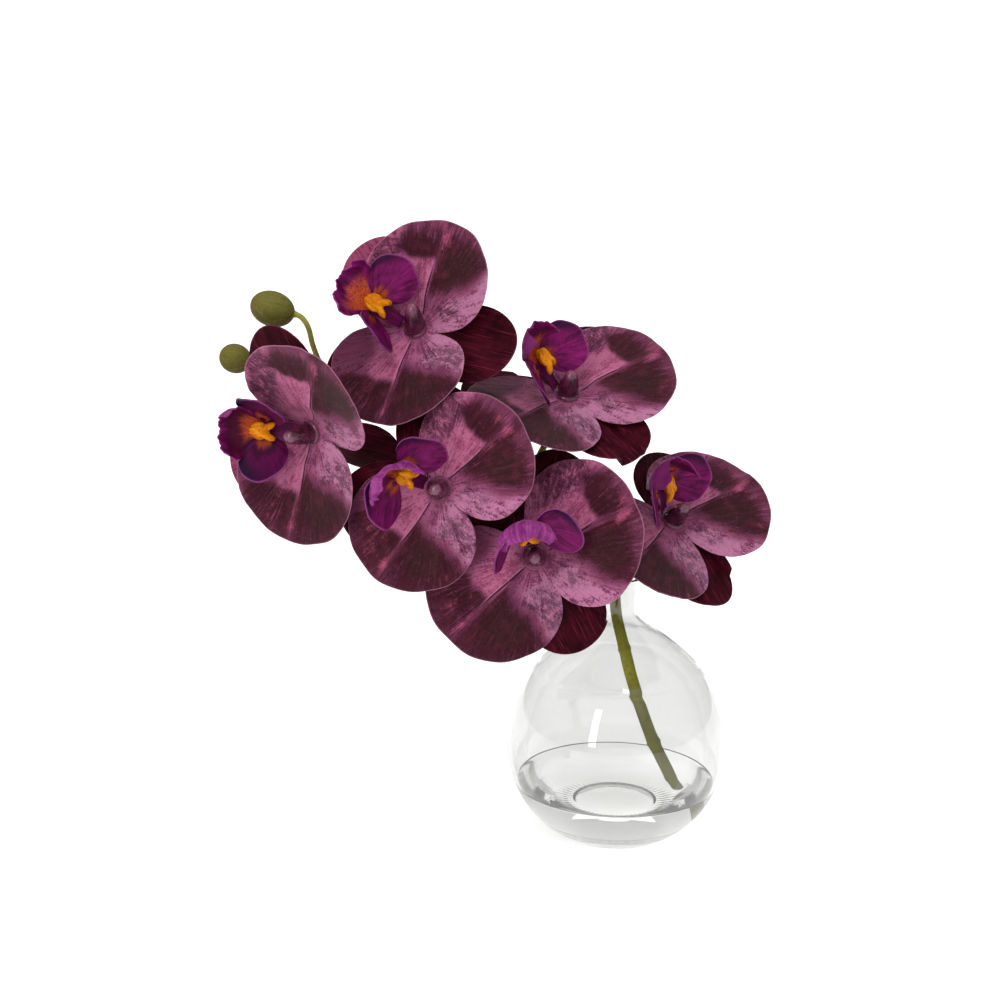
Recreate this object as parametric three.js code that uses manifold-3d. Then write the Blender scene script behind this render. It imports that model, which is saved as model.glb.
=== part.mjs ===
// A spray of moth orchid with six open blooms and two buds, standing in a round glass vase.
// Millimetres, +Z up. The origin is the centre of the vase's foot, and the blooms face -Y.
import * as THREE from 'three';
import * as BufferGeometryUtils from 'three/addons/utils/BufferGeometryUtils.js';
import Module from 'manifold-3d';

const wasm = await Module();
wasm.setup();

// Driving dimensions: the vase and what is in it
const BULB_RADIUS = 45.9;
const BULB_CENTRE = 42.6;
const BULB_DEPTH = 46;
const BULB_RISE = 47;
const BULB_FULLNESS = 2.2;
const FOOT_RADIUS = 20;
const NECK_RADIUS = 7.2;
const VASE_HEIGHT = 113;
const WALL = 1.3;
const FLOOR = 5;
const WATER_LEVEL = 23.5;
const GAP = 0.3;
const VASE_SIDES = 24;

// Driving dimensions: the sheets that the blooms are made of
const SHEET = 0.8;
const SHEET_GAP = 0.35;
const HUB_RADIUS = 5.6;
const SHEET_START = 5;
const FOLD_END = 13.5;
const ROWS = [0, 0.22, 0.6, 1];
const PETAL_FAN = 84;
const PETAL_TAPER = 1.05;
const PETAL_ROUNDNESS = 0.42;
const SEPAL_FAN = 53;
const SEPAL_TAPER = 1.5;
const SEPAL_ROUNDNESS = 0.72;
const SEPAL_LENGTH = 43;
const SEPAL_CLEARANCE = 0.6;

// Driving dimensions: the lip, its callus and the column
const LIP_PIVOT = [0, -4.6, 1];
const LIP_SHEET = 0.9;
const COLUMN_HEIGHT = 13;
const COLUMN_FOOT = 0.75;

// Each bloom: where its middle is, how it faces (degrees: yaw to +X, pitch up, roll of its top
// sepal), how long its petals are, and how they, the sepals (direction from the top one, lean
// backwards, and size), the lip and the column are bent. The lip's scoop has how much its end is
// widened, how much of its roll is left, how far it curls up and how far it leans to one side.
// Each of its two side lobes has how far it stands up, is swept back and is twisted.
const BLOOMS = [
  {
    at: [-85.6, -4, 216.7], yaw: -18, pitch: 38, roll: -98, reach: 45, swing: 87, curl: -0.25,
    left: { fold: 19, twist: 5 }, right: { fold: 5, twist: 3 },
    sepals: [[-1, 0, 1], [139, -14, 1], [-128, 6, 1]],
    lip: { turn: -4, rise: 40, scoop: [1.15, 0.7, 10, 0], lobes: [[16, 10, 0], [20, 25, -40]] },
    lean: [-0.35, 0],
  },
  {
    at: [-125.5, -28, 179.5], yaw: -40, pitch: -5, roll: -106, reach: 46, swing: 82, curl: -0.3,
    left: { fold: 20, twist: -11 }, right: { fold: 13, twist: -5 },
    sepals: [[-14, 46, 0.64], [128, -10, 1.05], [-131, -16, 1]],
    lip: { turn: 12, rise: 32, scoop: [1.15, 0.8, 35, 0], lobes: [[35, 10, 10], [30, 10, 0]] },
    lean: [0, -0.2],
  },
  {
    at: [-74.7, -44, 161.3], yaw: -9, pitch: 16, roll: -128, reach: 43, swing: 83, curl: 0.1,
    left: { fold: 8, twist: 9 }, right: { fold: 2, twist: 4 },
    sepals: [[0, 34, 0.75], [137, 21, 0.98], [-124, 10, 1]],
    lip: { turn: 18, rise: 50, scoop: [1.25, 0.8, 80, -35], lobes: [[30, 10, 10], [0, -20, 0]] },
    lean: [0, 0.05],
  },
  {
    at: [-36.5, -40, 133.4], yaw: -6, pitch: 13, roll: -141, reach: 48, swing: 82, curl: 0.15,
    left: { fold: 16, twist: 15 }, right: { fold: 6, twist: -17 },
    sepals: [[-11, 3, 1], [127, 5, 1], [-120, 42, 1]],
    lip: { turn: -26, rise: 60, scoop: [1.2, 0.8, 95, 0], lobes: [[10, 10, 20], [40, -5, -10]] },
    lean: [-0.1, 0.05],
  },
  {
    at: [-24.3, 1, 189.2], yaw: 11, pitch: 63, roll: -150, reach: 46.5, swing: 81, curl: 0.07,
    left: { fold: 13, twist: 0 }, right: { fold: 11, twist: 2 },
    sepals: [[0, -2, 1], [128, -16, 1], [-128, 0, 1]],
    lip: { turn: 34, rise: 52, scoop: [1.05, 0.8, 45, -20], lobes: [[38, 18, 0], [5, 15, -10]] },
    lean: [0, 0.05],
  },
  {
    at: [19.5, -8, 139.5], yaw: 33, pitch: 51, roll: -158, reach: 46, swing: 82, curl: 0.1,
    left: { fold: 8, twist: 6 }, right: { fold: 8, twist: -2 },
    sepals: [[-19, 2, 0.95], [124, 8, 1], [-118, 12, 1]],
    lip: { turn: 20, rise: 60, scoop: [1.4, 0.9, 55, -35], lobes: [[40, 18, 0], [0, -5, 0]] },
    lean: [0.12, 0.12],
  },
];

// The spike's route from its cut foot in the water to the fork of the bud stalks
const SPIKE_ROUTE = [
  [26.8, 0, 14.5], [24, 0, 23.5], [15.7, 0, 40.5], [10.2, 0, 54.7], [5.6, 0, 68.4], [2.2, 0, 81.1],
  [-1.3, 0, 95.5], [-2.4, 0, 104], [-2.6, 0, 112.5], [-7.5, 1, 121], [-16, 2, 130], [-31, 3, 146.5], [-47, 3, 162],
  [-66, 6, 177.5], [-84, 11, 187.5], [-101, 12, 193], [-118, 9, 194.5],
];
const SPIKE_RADIUS_LOW = 2.7;
const SPIKE_RADIUS_HIGH = 1.6;
const PEDICEL_RADIUS = 1.4;
// How far along the spike each bloom's stalk grows out, from 0 at the foot to 1 at the fork
const PEDICEL_ROOTS = [0.9, 0.97, 0.8, 0.66, 0.72, 0.6];
const JOINTS = [0.125, 0.3125, 0.5, 0.66, 0.82];
const BUD_STALK_RADIUS = 1.15;
const BUDS = [
  {
    name: 'bud_1', stalk: [[-118, 9, 194.5], [-124, 3, 200], [-127, -2, 208.5], [-129, -4, 217],
      [-131.5, -4, 220.6], [-133.4, -4, 221.6]],
    centre: [-143.5, -4, 224], radii: [9.6, 7.2, 7.2], tilt: 18,
  },
  {
    name: 'bud_2', stalk: [[-118, 9, 194.5], [-128, 3, 198.5], [-140, -4, 202], [-151.5, -4, 202.9]],
    centre: [-158.5, -4, 203.4], radii: [6.9, 6, 6], tilt: 20,
  },
];

// Colours
const GLASS = { color: 0xe4ece8, roughness: 0.03, metalness: 0, transparent: true, opacity: 0.35 };
const WATER = { color: 0xdfe8e4, roughness: 0.05, metalness: 0, transparent: true, opacity: 0.5 };
const STEM = { color: 0x6c6b31, roughness: 0.6, metalness: 0 };
const BUD = { color: 0x6d6d3a, roughness: 0.65, metalness: 0 };
const PETAL = { color: 0x8a4a70, roughness: 0.7, metalness: 0 };
const SEPAL = { color: 0x4a1026, roughness: 0.75, metalness: 0 };
const LIP = { color: 0x7a1c74, roughness: 0.6, metalness: 0 };
const CALLUS = { color: 0xe9a40c, roughness: 0.5, metalness: 0 };
const COLUMN = { color: 0x4a1a38, roughness: 0.3, metalness: 0 };

const radians = THREE.MathUtils.degToRad;

function mesh(name, geometry, look) {
  const result = new THREE.Mesh(geometry, new THREE.MeshStandardMaterial(look));
  result.name = name;
  return result;
}

// Solids for joining and cutting

function toSolid(geometry) {
  const bare = geometry.clone();
  bare.deleteAttribute('normal');
  bare.deleteAttribute('uv');
  const merged = BufferGeometryUtils.mergeVertices(bare, 1e-4);
  return new wasm.Manifold(new wasm.Mesh({
    numProp: 3,
    vertProperties: new Float32Array(merged.attributes.position.array),
    triVerts: new Uint32Array(merged.index.array),
  }));
}

function toGeometry(solid) {
  const { vertProperties, triVerts } = solid.getMesh();
  const geometry = new THREE.BufferGeometry();
  geometry.setAttribute('position', new THREE.BufferAttribute(vertProperties, 3));
  geometry.setIndex(new THREE.BufferAttribute(triVerts, 1));
  geometry.computeVertexNormals();
  return geometry;
}

function join(solids) {
  return solids.reduce((whole, solid) => whole.add(solid));
}

// A thin closed sheet from a grid of points: rows[i][j], thickened to both sides
function sheetSolid(rows, thickness) {
  const count = rows[0].length;
  const facing = rows.map((row, i) => row.map((point, j) => {
    const along = new THREE.Vector3().subVectors(
      rows[Math.min(i + 1, rows.length - 1)][j], rows[Math.max(i - 1, 0)][j]);
    const across = new THREE.Vector3().subVectors(
      row[Math.min(j + 1, count - 1)], row[Math.max(j - 1, 0)]);
    return along.cross(across).normalize();
  }));
  const positions = [];
  for (const side of [1, -1]) {
    rows.forEach((row, i) => row.forEach((point, j) => {
      positions.push(...point.clone().addScaledVector(facing[i][j], side * thickness / 2));
    }));
  }
  const layer = rows.length * count;
  const at = (i, j, side) => i * count + j + (side < 0 ? layer : 0);
  const triangles = [];
  const quad = (a, b, c, d) => triangles.push(a, b, c, a, c, d);
  for (let i = 0; i < rows.length - 1; i++) {
    for (let j = 0; j < count - 1; j++) {
      quad(at(i, j, 1), at(i + 1, j, 1), at(i + 1, j + 1, 1), at(i, j + 1, 1));
      const [a, b] = [at(i, j, -1), at(i + 1, j, -1)];
      const [c, d] = [at(i + 1, j + 1, -1), at(i, j + 1, -1)];
      triangles.push(a, c, b, a, d, c);
    }
  }
  const border = [];
  for (let i = 0; i < rows.length - 1; i++) border.push([i, 0]);
  for (let j = 0; j < count - 1; j++) border.push([rows.length - 1, j]);
  for (let i = rows.length - 1; i > 0; i--) border.push([i, count - 1]);
  for (let j = count - 1; j > 0; j--) border.push([0, j]);
  border.forEach(([i, j], k) => {
    const [m, n] = border[(k + 1) % border.length];
    quad(at(i, j, 1), at(i, j, -1), at(m, n, -1), at(m, n, 1));
  });
  const geometry = new THREE.BufferGeometry();
  geometry.setAttribute('position', new THREE.Float32BufferAttribute(positions, 3));
  geometry.setIndex(triangles);
  return toSolid(geometry);
}

function tubeSolid(points, radius, steps, sides = 8) {
  const path = new THREE.CatmullRomCurve3(points.map((p) => new THREE.Vector3(...p)));
  const section = new THREE.Shape().absarc(0, 0, radius, 0, 2 * Math.PI);
  return toSolid(new THREE.ExtrudeGeometry(section, {
    steps, curveSegments: sides / 2, bevelEnabled: false, extrudePath: path,
  }));
}

function ballSolid(radii, centre, turn = [0, 0, 0], sides = 7, rings = 5) {
  const ball = new THREE.SphereGeometry(1, sides, rings);
  ball.scale(...radii);
  const place = new THREE.Matrix4().makeRotationFromEuler(new THREE.Euler(...turn));
  ball.applyMatrix4(place.setPosition(...centre));
  return toSolid(ball);
}

// Vase and water

// The bulb's outline is a little fuller below its widest line than a true round
function bulbOutline(heights, inset) {
  return heights.map((z) => {
    const below = z < BULB_CENTRE;
    const power = below ? BULB_FULLNESS : 2;
    const share = Math.abs(z - BULB_CENTRE) / ((below ? BULB_DEPTH : BULB_RISE) - inset);
    return new THREE.Vector2((BULB_RADIUS - inset) * (1 - share ** power) ** (1 / power), z);
  });
}

// The shoulder leaves the round of the bulb and runs up to the foot of the neck
function shoulder(inset) {
  return [[29, 79], [21.5, 85.6], [14, 90.6], [9, 94.6], [NECK_RADIUS, 98]].map(([radius, z]) => (
    new THREE.Vector2(radius - inset, z - inset * (radius - NECK_RADIUS) / BULB_RADIUS)));
}

const BULB_HEIGHTS = [8.5, 14, 22, 32, 42.6, 53, 63, 72];

function vase() {
  const outside = [
    new THREE.Vector2(0, 0),
    new THREE.Vector2(FOOT_RADIUS, 0),
    ...bulbOutline([1.2, 4, ...BULB_HEIGHTS], 0),
    ...shoulder(0),
    new THREE.Vector2(NECK_RADIUS, VASE_HEIGHT - 1),
    new THREE.Vector2(NECK_RADIUS - 0.3, VASE_HEIGHT),
  ];
  const inside = [
    new THREE.Vector2(NECK_RADIUS - WALL + 0.3, VASE_HEIGHT),
    new THREE.Vector2(NECK_RADIUS - WALL, VASE_HEIGHT - 1),
    ...shoulder(WALL).reverse(),
    ...bulbOutline(BULB_HEIGHTS, WALL).reverse(),
    new THREE.Vector2(18, FLOOR + 0.4),
    new THREE.Vector2(0, FLOOR),
  ];
  const glass = new THREE.LatheGeometry([...outside, ...inside], VASE_SIDES);
  return mesh('vase', toGeometry(toSolid(glass.rotateX(Math.PI / 2))), GLASS);
}

function water() {
  const profile = [
    new THREE.Vector2(0, FLOOR + GAP),
    new THREE.Vector2(18 - GAP, FLOOR + 0.4 + GAP),
    ...bulbOutline([BULB_HEIGHTS[0] + GAP, BULB_HEIGHTS[1], WATER_LEVEL], WALL + GAP),
    new THREE.Vector2(0, WATER_LEVEL),
  ];
  const pool = toSolid(new THREE.LatheGeometry(profile, VASE_SIDES).rotateX(Math.PI / 2));
  const hole = tubeSolid([[27.6, 0, 12], ...SPIKE_ROUTE.slice(0, 3)], SPIKE_RADIUS_LOW + GAP, 5);
  return mesh('water', toGeometry(pool.subtract(hole)), WATER);
}

// Spike with its joints, the blooms' stalks and the bud stalks

function bloomMatrix(bloom) {
  const turn = new THREE.Euler(radians(90 - bloom.pitch), 0, radians(bloom.yaw), 'ZXY');
  const matrix = new THREE.Matrix4().makeRotationFromEuler(turn);
  matrix.multiply(new THREE.Matrix4().makeRotationZ(radians(bloom.roll)));
  return matrix.setPosition(...bloom.at);
}

function stem() {
  const route = new THREE.CatmullRomCurve3(SPIKE_ROUTE.map((p) => new THREE.Vector3(...p)));
  const stops = [0, ...JOINTS, 1];
  const solids = [];
  for (let i = 0; i < stops.length - 1; i++) {
    const from = stops[i];
    const to = Math.min(stops[i + 1] + 0.004, 1);
    const steps = Math.round((to - from) * 32);
    const points = Array.from({ length: steps + 1 }, (_, k) => (
      route.getPoint(THREE.MathUtils.lerp(from, to, k / steps)).toArray()));
    const radius = THREE.MathUtils.lerp(SPIKE_RADIUS_LOW, SPIKE_RADIUS_HIGH, Math.max(0, i - 1) / 5);
    solids.push(tubeSolid(points, radius, steps));
    if (i > 0) {
      solids.push(bract(route.getPoint(from), route.getTangent(from), radius));
    }
  }
  BLOOMS.forEach((bloom, i) => {
    const back = new THREE.Vector3(0, 0, -SHEET * 1.5 - SHEET_GAP - GAP);
    const matrix = bloomMatrix(bloom);
    const root = route.getPoint(PEDICEL_ROOTS[i]);
    const end = back.clone().applyMatrix4(matrix);
    const behind = back.clone().add(new THREE.Vector3(0, 0, -9)).applyMatrix4(matrix);
    const middle = root.clone().lerp(behind, 0.55).add(new THREE.Vector3(0, 0, 1.5));
    const points = [root, middle, behind, end].map((p) => p.toArray());
    solids.push(tubeSolid(points, PEDICEL_RADIUS, 6, 6));
  });
  for (const bud of BUDS) {
    solids.push(tubeSolid(bud.stalk, BUD_STALK_RADIUS, 8, 6));
  }
  return mesh('stem', toGeometry(join(solids)), STEM);
}

// A small sheath round the spike at a joint, wider than it at the top
function bract(point, tangent, radius) {
  const profile = [
    new THREE.Vector2(0, -3), new THREE.Vector2(radius * 0.9, -3),
    new THREE.Vector2(radius + 0.7, 0), new THREE.Vector2(radius + 0.2, 3.4),
    new THREE.Vector2(0, 3.4),
  ];
  const cone = new THREE.LatheGeometry(profile, 8);
  const up = new THREE.Vector3(0, 1, 0);
  const matrix = new THREE.Matrix4().makeRotationFromQuaternion(
    new THREE.Quaternion().setFromUnitVectors(up, tangent));
  cone.applyMatrix4(matrix.setPosition(point));
  return toSolid(cone);
}

function bud({ name, centre, radii, tilt }) {
  const solid = ballSolid(radii, centre, [0, radians(tilt), 0], 12, 8);
  return mesh(name, toGeometry(solid), BUD);
}

// Petals: a fan round the middle of the bloom. a runs along the midrib, b across it, and b is
// above 0 on the side of the top sepal.

function petalHeight(b, reach, curl) {
  return -curl * b * b / reach;
}

function foldShare(distance) {
  return THREE.MathUtils.clamp((distance - SHEET_START) / (FOLD_END - SHEET_START), 0, 1);
}

function petalPoint(a, b, side, bloom) {
  const { fold, twist } = side < 0 ? bloom.left : bloom.right;
  const point = new THREE.Vector3(a, b, petalHeight(b, bloom.reach, bloom.curl));
  point.applyAxisAngle(new THREE.Vector3(1, 0, 0), radians(twist));
  point.applyAxisAngle(new THREE.Vector3(0, 1, 0), -radians(fold));
  point.applyAxisAngle(new THREE.Vector3(0, 0, 1), radians(90 - bloom.swing));
  point.z *= foldShare(Math.hypot(a, b));
  point.x *= side;
  return point;
}

// How high the petal on one side lies above (x, y), also where it is carried on past its edge
function petalAbove(x, y, side, bloom) {
  const { fold, twist } = side < 0 ? bloom.left : bloom.right;
  const [f, t, w] = [radians(fold), radians(twist), radians(bloom.swing)];
  const along = side * x * Math.sin(w) + y * Math.cos(w);
  const across = -side * x * Math.cos(w) + y * Math.sin(w);
  let height = 0;
  let a = along;
  let b = across;
  for (let i = 0; i < 4; i++) {
    height = petalHeight(b, bloom.reach, bloom.curl);
    b = (across + height * Math.sin(t)) / Math.cos(t);
    const lifted = b * Math.sin(t) + height * Math.cos(t);
    a = (along + lifted * Math.sin(f)) / Math.cos(f);
  }
  const lifted = b * Math.sin(t) + height * Math.cos(t);
  return (a * Math.sin(f) + lifted * Math.cos(f)) * foldShare(Math.hypot(a, b));
}

function fanRadius(angle, taper, roundness) {
  return Math.max(Math.cos(taper * angle), 0) ** roundness;
}

// Angles across a fan, closer together towards its two edges
function fanAngle(share, fan) {
  return radians(fan) * Math.sin(Math.PI / 2 * THREE.MathUtils.lerp(-1, 1, share));
}

// Rows of points from the hub out to a leaf's outline, which angle and radius give
function leafRows(steps, outline, place) {
  return ROWS.map((row) => Array.from({ length: steps + 1 }, (_, j) => {
    const [angle, edge] = outline(j / steps);
    const radius = THREE.MathUtils.lerp(SHEET_START, edge, row);
    return place(radius * Math.cos(angle), radius * Math.sin(angle));
  }));
}

function hubSolid(height) {
  const hub = new THREE.CylinderGeometry(HUB_RADIUS, HUB_RADIUS, SHEET + 0.06, 12);
  return toSolid(hub.rotateX(Math.PI / 2).translate(0, 0, height));
}

function petals(bloom, name) {
  const solids = [hubSolid(0)];
  for (const side of [-1, 1]) {
    const rows = leafRows(12, (share) => {
      const angle = fanAngle(side < 0 ? 1 - share : share, PETAL_FAN);
      return [angle, bloom.reach * fanRadius(angle, PETAL_TAPER, PETAL_ROUNDNESS)];
    }, (a, b) => petalPoint(a, b, side, bloom));
    solids.push(sheetSolid(rows, SHEET));
  }
  return mesh(name, toGeometry(join(solids)), PETAL);
}

// Sepals lie behind the petals and are pressed back wherever a petal would meet them
function sepalPoint(x, y, reflex, bloom) {
  const distance = Math.hypot(x, y);
  const step = SHEET + SHEET_GAP;
  const own = -step - Math.tan(radians(reflex)) * Math.max(distance - SHEET_START, 0);
  const near = x < -6 ? [-1] : x > 6 ? [1] : [-1, 1];
  const petal = Math.min(...near.map((side) => petalAbove(x, y, side, bloom)));
  const spare = SEPAL_CLEARANCE * foldShare(distance);
  return new THREE.Vector3(x, y, Math.min(own, petal - step - spare));
}

function sepals(bloom, name) {
  const solids = [hubSolid(-SHEET - SHEET_GAP)];
  for (const [direction, reflex, size] of bloom.sepals) {
    const middle = Math.PI / 2 + radians(direction);
    const [cos, sin] = [Math.cos(middle), Math.sin(middle)];
    const rows = leafRows(8, (share) => {
      const angle = radians(THREE.MathUtils.lerp(-SEPAL_FAN, SEPAL_FAN, share));
      return [angle, size * SEPAL_LENGTH * fanRadius(angle, SEPAL_TAPER, SEPAL_ROUNDNESS)];
    }, (a, b) => sepalPoint(a * cos - b * sin, a * sin + b * cos, reflex, bloom));
    solids.push(sheetSolid(rows, SHEET));
  }
  return mesh(name, toGeometry(join(solids)), SEPAL);
}

// Lip: a claw that widens into a scoop with rolled edges, and a rounded lobe on each side.
// It is laid out along -Y, and then turned and raised as a whole.

// Each station: distance out, half the width of the sheet, how far it is rolled, height
const SCOOP = [
  [1.6, 2.6, 20, 0], [9, 3.2, 25, 0.4], [15, 4.5, 22, 0], [20, 7, 45, -0.4],
  [25, 11.5, 78, 0], [29.5, 13, 98, 0.4], [33.5, 10, 104, 1.8],
];
const END_WIDENS = [15, 23];
const CURL_START = 18;
const CURL_LENGTH = 15.5;
const LOBE = { root: [2.8, -15.6, 0.3], length: 20, taper: 1.25, roundness: 0.5, fan: 70 };
const LOBE_CUP = 0.014;

function scoopPoint([out, half, roll, height], t, [widen, unroll, curl, lean]) {
  const { clamp, lerp } = THREE.MathUtils;
  const grown = clamp((out - END_WIDENS[0]) / (END_WIDENS[1] - END_WIDENS[0]), 0, 1);
  const rolled = radians(roll) * lerp(1, unroll, grown);
  const radius = half * lerp(1, widen, grown) / rolled;
  const tilt = radians(lean) * grown;
  const angle = t * rolled + tilt;
  const across = radius * (Math.sin(angle) - Math.sin(tilt));
  const lift = radius * (Math.cos(tilt) - Math.cos(angle));
  const bendRadius = CURL_LENGTH / radians(curl);
  const bend = Math.max(out - CURL_START, 0) / bendRadius;
  const reach = Math.min(out, CURL_START) + bendRadius * Math.sin(bend);
  const rise = height + bendRadius * (1 - Math.cos(bend));
  return new THREE.Vector3(across, lift * Math.sin(bend) - reach, rise + lift * Math.cos(bend));
}

function lobePoint(share, angle, side, [stand, sweep, twist]) {
  const radius = share * LOBE.length * fanRadius(angle, LOBE.taper, LOBE.roundness);
  const [out, along] = [radius * Math.cos(angle), radius * Math.sin(angle)];
  const point = new THREE.Vector3(out, along, LOBE_CUP * radius * radius * Math.cos(angle));
  point.applyAxisAngle(new THREE.Vector3(1, 0, 0), radians(twist));
  point.applyAxisAngle(new THREE.Vector3(0, 1, 0), -radians(stand));
  point.applyAxisAngle(new THREE.Vector3(0, 0, 1), radians(sweep));
  point.add(new THREE.Vector3(...LOBE.root));
  point.x *= side;
  return point;
}

function lip(bloom, name) {
  const scoop = SCOOP.map((station) => Array.from({ length: 5 }, (_, j) => (
    scoopPoint(station, THREE.MathUtils.lerp(-1, 1, j / 4), bloom.lip.scoop))));
  const solids = [sheetSolid(scoop, LIP_SHEET)];
  [-1, 1].forEach((side, k) => {
    const rows = [0.12, 0.55, 1].map((share) => Array.from({ length: 8 }, (_, j) => (
      lobePoint(share, fanAngle(side < 0 ? 1 - j / 7 : j / 7, LOBE.fan), side, bloom.lip.lobes[k])
    )));
    solids.push(sheetSolid(rows, LIP_SHEET));
  });
  return mesh(name, toGeometry(join(solids)), LIP);
}

// A seat low in the lip, a wide plate on it and two prongs that point at the column
function callus(name) {
  const solids = [
    ballSolid([2.3, 4, 1.6], [0, -16.4, 2.9], [0, 0, 0], 6, 4),
    ballSolid([3.9, 4.2, 1.5], [0, -16.2, 4.3], [0, 0, 0], 8, 4),
    ballSolid([1.5, 3.4, 1.5], [2.1, -12.6, 4.9], [-0.3, 0, -0.45], 6, 4),
    ballSolid([1.5, 3.4, 1.5], [-2.1, -12.6, 4.9], [-0.3, 0, 0.45], 6, 4),
  ];
  return mesh(name, toGeometry(join(solids)), CALLUS);
}

function column(bloom, name) {
  const profile = [
    [0, COLUMN_FOOT], [4.8, COLUMN_FOOT], [4.8, COLUMN_FOOT + 1.1], [4.2, COLUMN_FOOT + 1.5],
    [4.1, 5], [3.5, 8.5], [2.7, 11.4], [1.5, COLUMN_HEIGHT - 0.3], [0, COLUMN_HEIGHT],
  ].map(([x, y]) => new THREE.Vector2(x, y));
  const geometry = new THREE.LatheGeometry(profile, 10).rotateX(Math.PI / 2);
  const position = geometry.attributes.position;
  for (let i = 0; i < position.count; i++) {
    const rise = Math.max(position.getZ(i) - COLUMN_FOOT - 1.5, 0);
    position.setX(i, position.getX(i) + bloom.lean[0] * rise);
    position.setY(i, position.getY(i) + bloom.lean[1] * rise);
  }
  return mesh(name, toGeometry(toSolid(geometry)), COLUMN);
}

function bloomGroup(bloom, number) {
  const name = `bloom_${number}`;
  const whole = new THREE.Group();
  whole.position.set(...bloom.at);
  whole.rotation.set(radians(90 - bloom.pitch), 0, radians(bloom.yaw), 'ZXY');
  const rolled = new THREE.Group();
  rolled.rotation.z = radians(bloom.roll);
  whole.add(rolled);
  rolled.add(petals(bloom, `${name}_petals`), sepals(bloom, `${name}_sepals`));
  rolled.add(column(bloom, `${name}_column`));
  const lipTurned = new THREE.Group();
  lipTurned.rotation.z = radians(bloom.lip.turn);
  rolled.add(lipTurned);
  const lipRaised = new THREE.Group();
  lipRaised.position.set(...LIP_PIVOT);
  lipRaised.rotation.x = -radians(bloom.lip.rise);
  lipTurned.add(lipRaised);
  lipRaised.add(lip(bloom, `${name}_lip`), callus(`${name}_callus`));
  return whole;
}

const orchid = new THREE.Group();
orchid.add(vase(), water(), stem());
BUDS.forEach((one) => orchid.add(bud(one)));
BLOOMS.forEach((bloom, i) => orchid.add(bloomGroup(bloom, i + 1)));

export default orchid;
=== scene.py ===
from math import cos, degrees, pi, radians, sin, tan

import bpy
import numpy as np
from mathutils import Matrix


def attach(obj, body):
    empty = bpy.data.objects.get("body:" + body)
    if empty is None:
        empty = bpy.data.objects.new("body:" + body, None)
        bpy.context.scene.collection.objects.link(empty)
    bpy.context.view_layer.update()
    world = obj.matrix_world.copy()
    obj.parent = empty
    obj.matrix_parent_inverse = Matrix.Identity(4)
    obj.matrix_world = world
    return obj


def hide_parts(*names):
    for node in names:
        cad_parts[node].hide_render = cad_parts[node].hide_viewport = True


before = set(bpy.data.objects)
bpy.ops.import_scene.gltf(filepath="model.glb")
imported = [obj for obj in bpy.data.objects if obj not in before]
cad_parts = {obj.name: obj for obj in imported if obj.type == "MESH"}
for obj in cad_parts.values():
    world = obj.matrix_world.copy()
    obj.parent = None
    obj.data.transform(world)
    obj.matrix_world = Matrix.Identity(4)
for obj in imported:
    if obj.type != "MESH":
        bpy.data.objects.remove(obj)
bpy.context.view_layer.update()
MM = 0.001


# All lengths are in millimetres and all angles in degrees. First the vase: the bulb with its widest
# height and its reach below and above that, the shoulder (radius, height), the neck and the foot.
BULB_RADIUS = 45.9
BULB_CENTRE = 42.6
BULB_DEPTH = 46.0
BULB_RISE = 47.0
BULB_FULLNESS = 2.2
SHOULDER = [(36.2, 72), (29, 79), (21.5, 85.6), (14, 90.6), (9, 94.6)]
SHOULDER_STEPS = 36
NECK_RADIUS = 7.2
NECK_LOW = 103
VASE_HEIGHT = 113.0
VASE_SIDES = 240
WALL = 1.3
FLOOR = 5.0
UNDERSIDE = [(0, 1.5), (6, 1.45), (12, 1.3), (16, 1.0), (17.1, 0.6), (17.6, 0.2), (18.0, 0.03), (18.5, 0.0),
             (19.1, 0.0), (19.7, 0.0), (20.3, 0.1), (20.9, 0.35), (21.5, 0.7)]
INSIDE_LOW = 9.5
INSIDE_FLOOR = [(24.6, 7.6), (21.5, 6.3), (18, 5.5), (12, 5.15), (6, 5.03), (0, FLOOR)]
RIDGES = 60
RIDGE_HEIGHT = 0.2
RIDGE_RING = (17.9, 24.5)
WATER_LEVEL = 23.5
WATER_INTO_WALL = 0.12
WATER_BASE = [(0, FLOOR - 0.1), (6, 4.93), (12, 5.05), (18, 5.4), (21.5, 6.2), (24.7, 7.5)]

# The sheets of the blooms. A fan is half the angle that a leaf spreads over, and its taper and
# roundness shape its edge.
SHEET = 0.8
SHEET_GAP = 0.35
PETAL_SHOWN = 0.6
LIP_SHOWN = 0.7
BORDER_THIN = 0.45
HUB_RADIUS = 5.6
HUB_SIDES = 64
LEAF_START = 3.2
SHEET_START = 5.0
FOLD_END = 13.5
PETAL_FAN = 84
PETAL_TAPER = 1.05
PETAL_ROUNDNESS = 0.42
PETAL_GRID = (46, 96)
CREASE_WAVES = 7.0
CREASE_WANDER = 0.012
SEPAL_FAN = 53
SEPAL_TAPER = 1.5
SEPAL_ROUNDNESS = 0.72
SEPAL_LENGTH = 43
SEPAL_CLEARANCE = 0.6
SEPAL_GRID = (40, 64)

# The lip. Each station of its scoop gives the distance out, half the width of the sheet, how far
# it is rolled, and its height.
LIP_PIVOT = (0, -4.6, 1)
SCOOP = [
    (1.6, 2.6, 20, 0), (9, 3.2, 25, 0.4), (15, 4.5, 22, 0), (20, 7, 45, -0.4),
    (25, 11.5, 78, 0), (29.5, 13, 98, 0.4), (33.5, 10, 104, 1.8),
]
SCOOP_GRID = (70, 48)
END_WIDENS = (15, 23)
CURL_START = 18
CURL_LENGTH = 15.5
LOBE_ROOT = (2.8, -15.6, 0.3)
LOBE_LENGTH = 20
LOBE_TAPER = 1.25
LOBE_ROUNDNESS = 0.5
LOBE_FAN = 70
LOBE_CUP = 0.014
LOBE_GRID = (36, 64)

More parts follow.
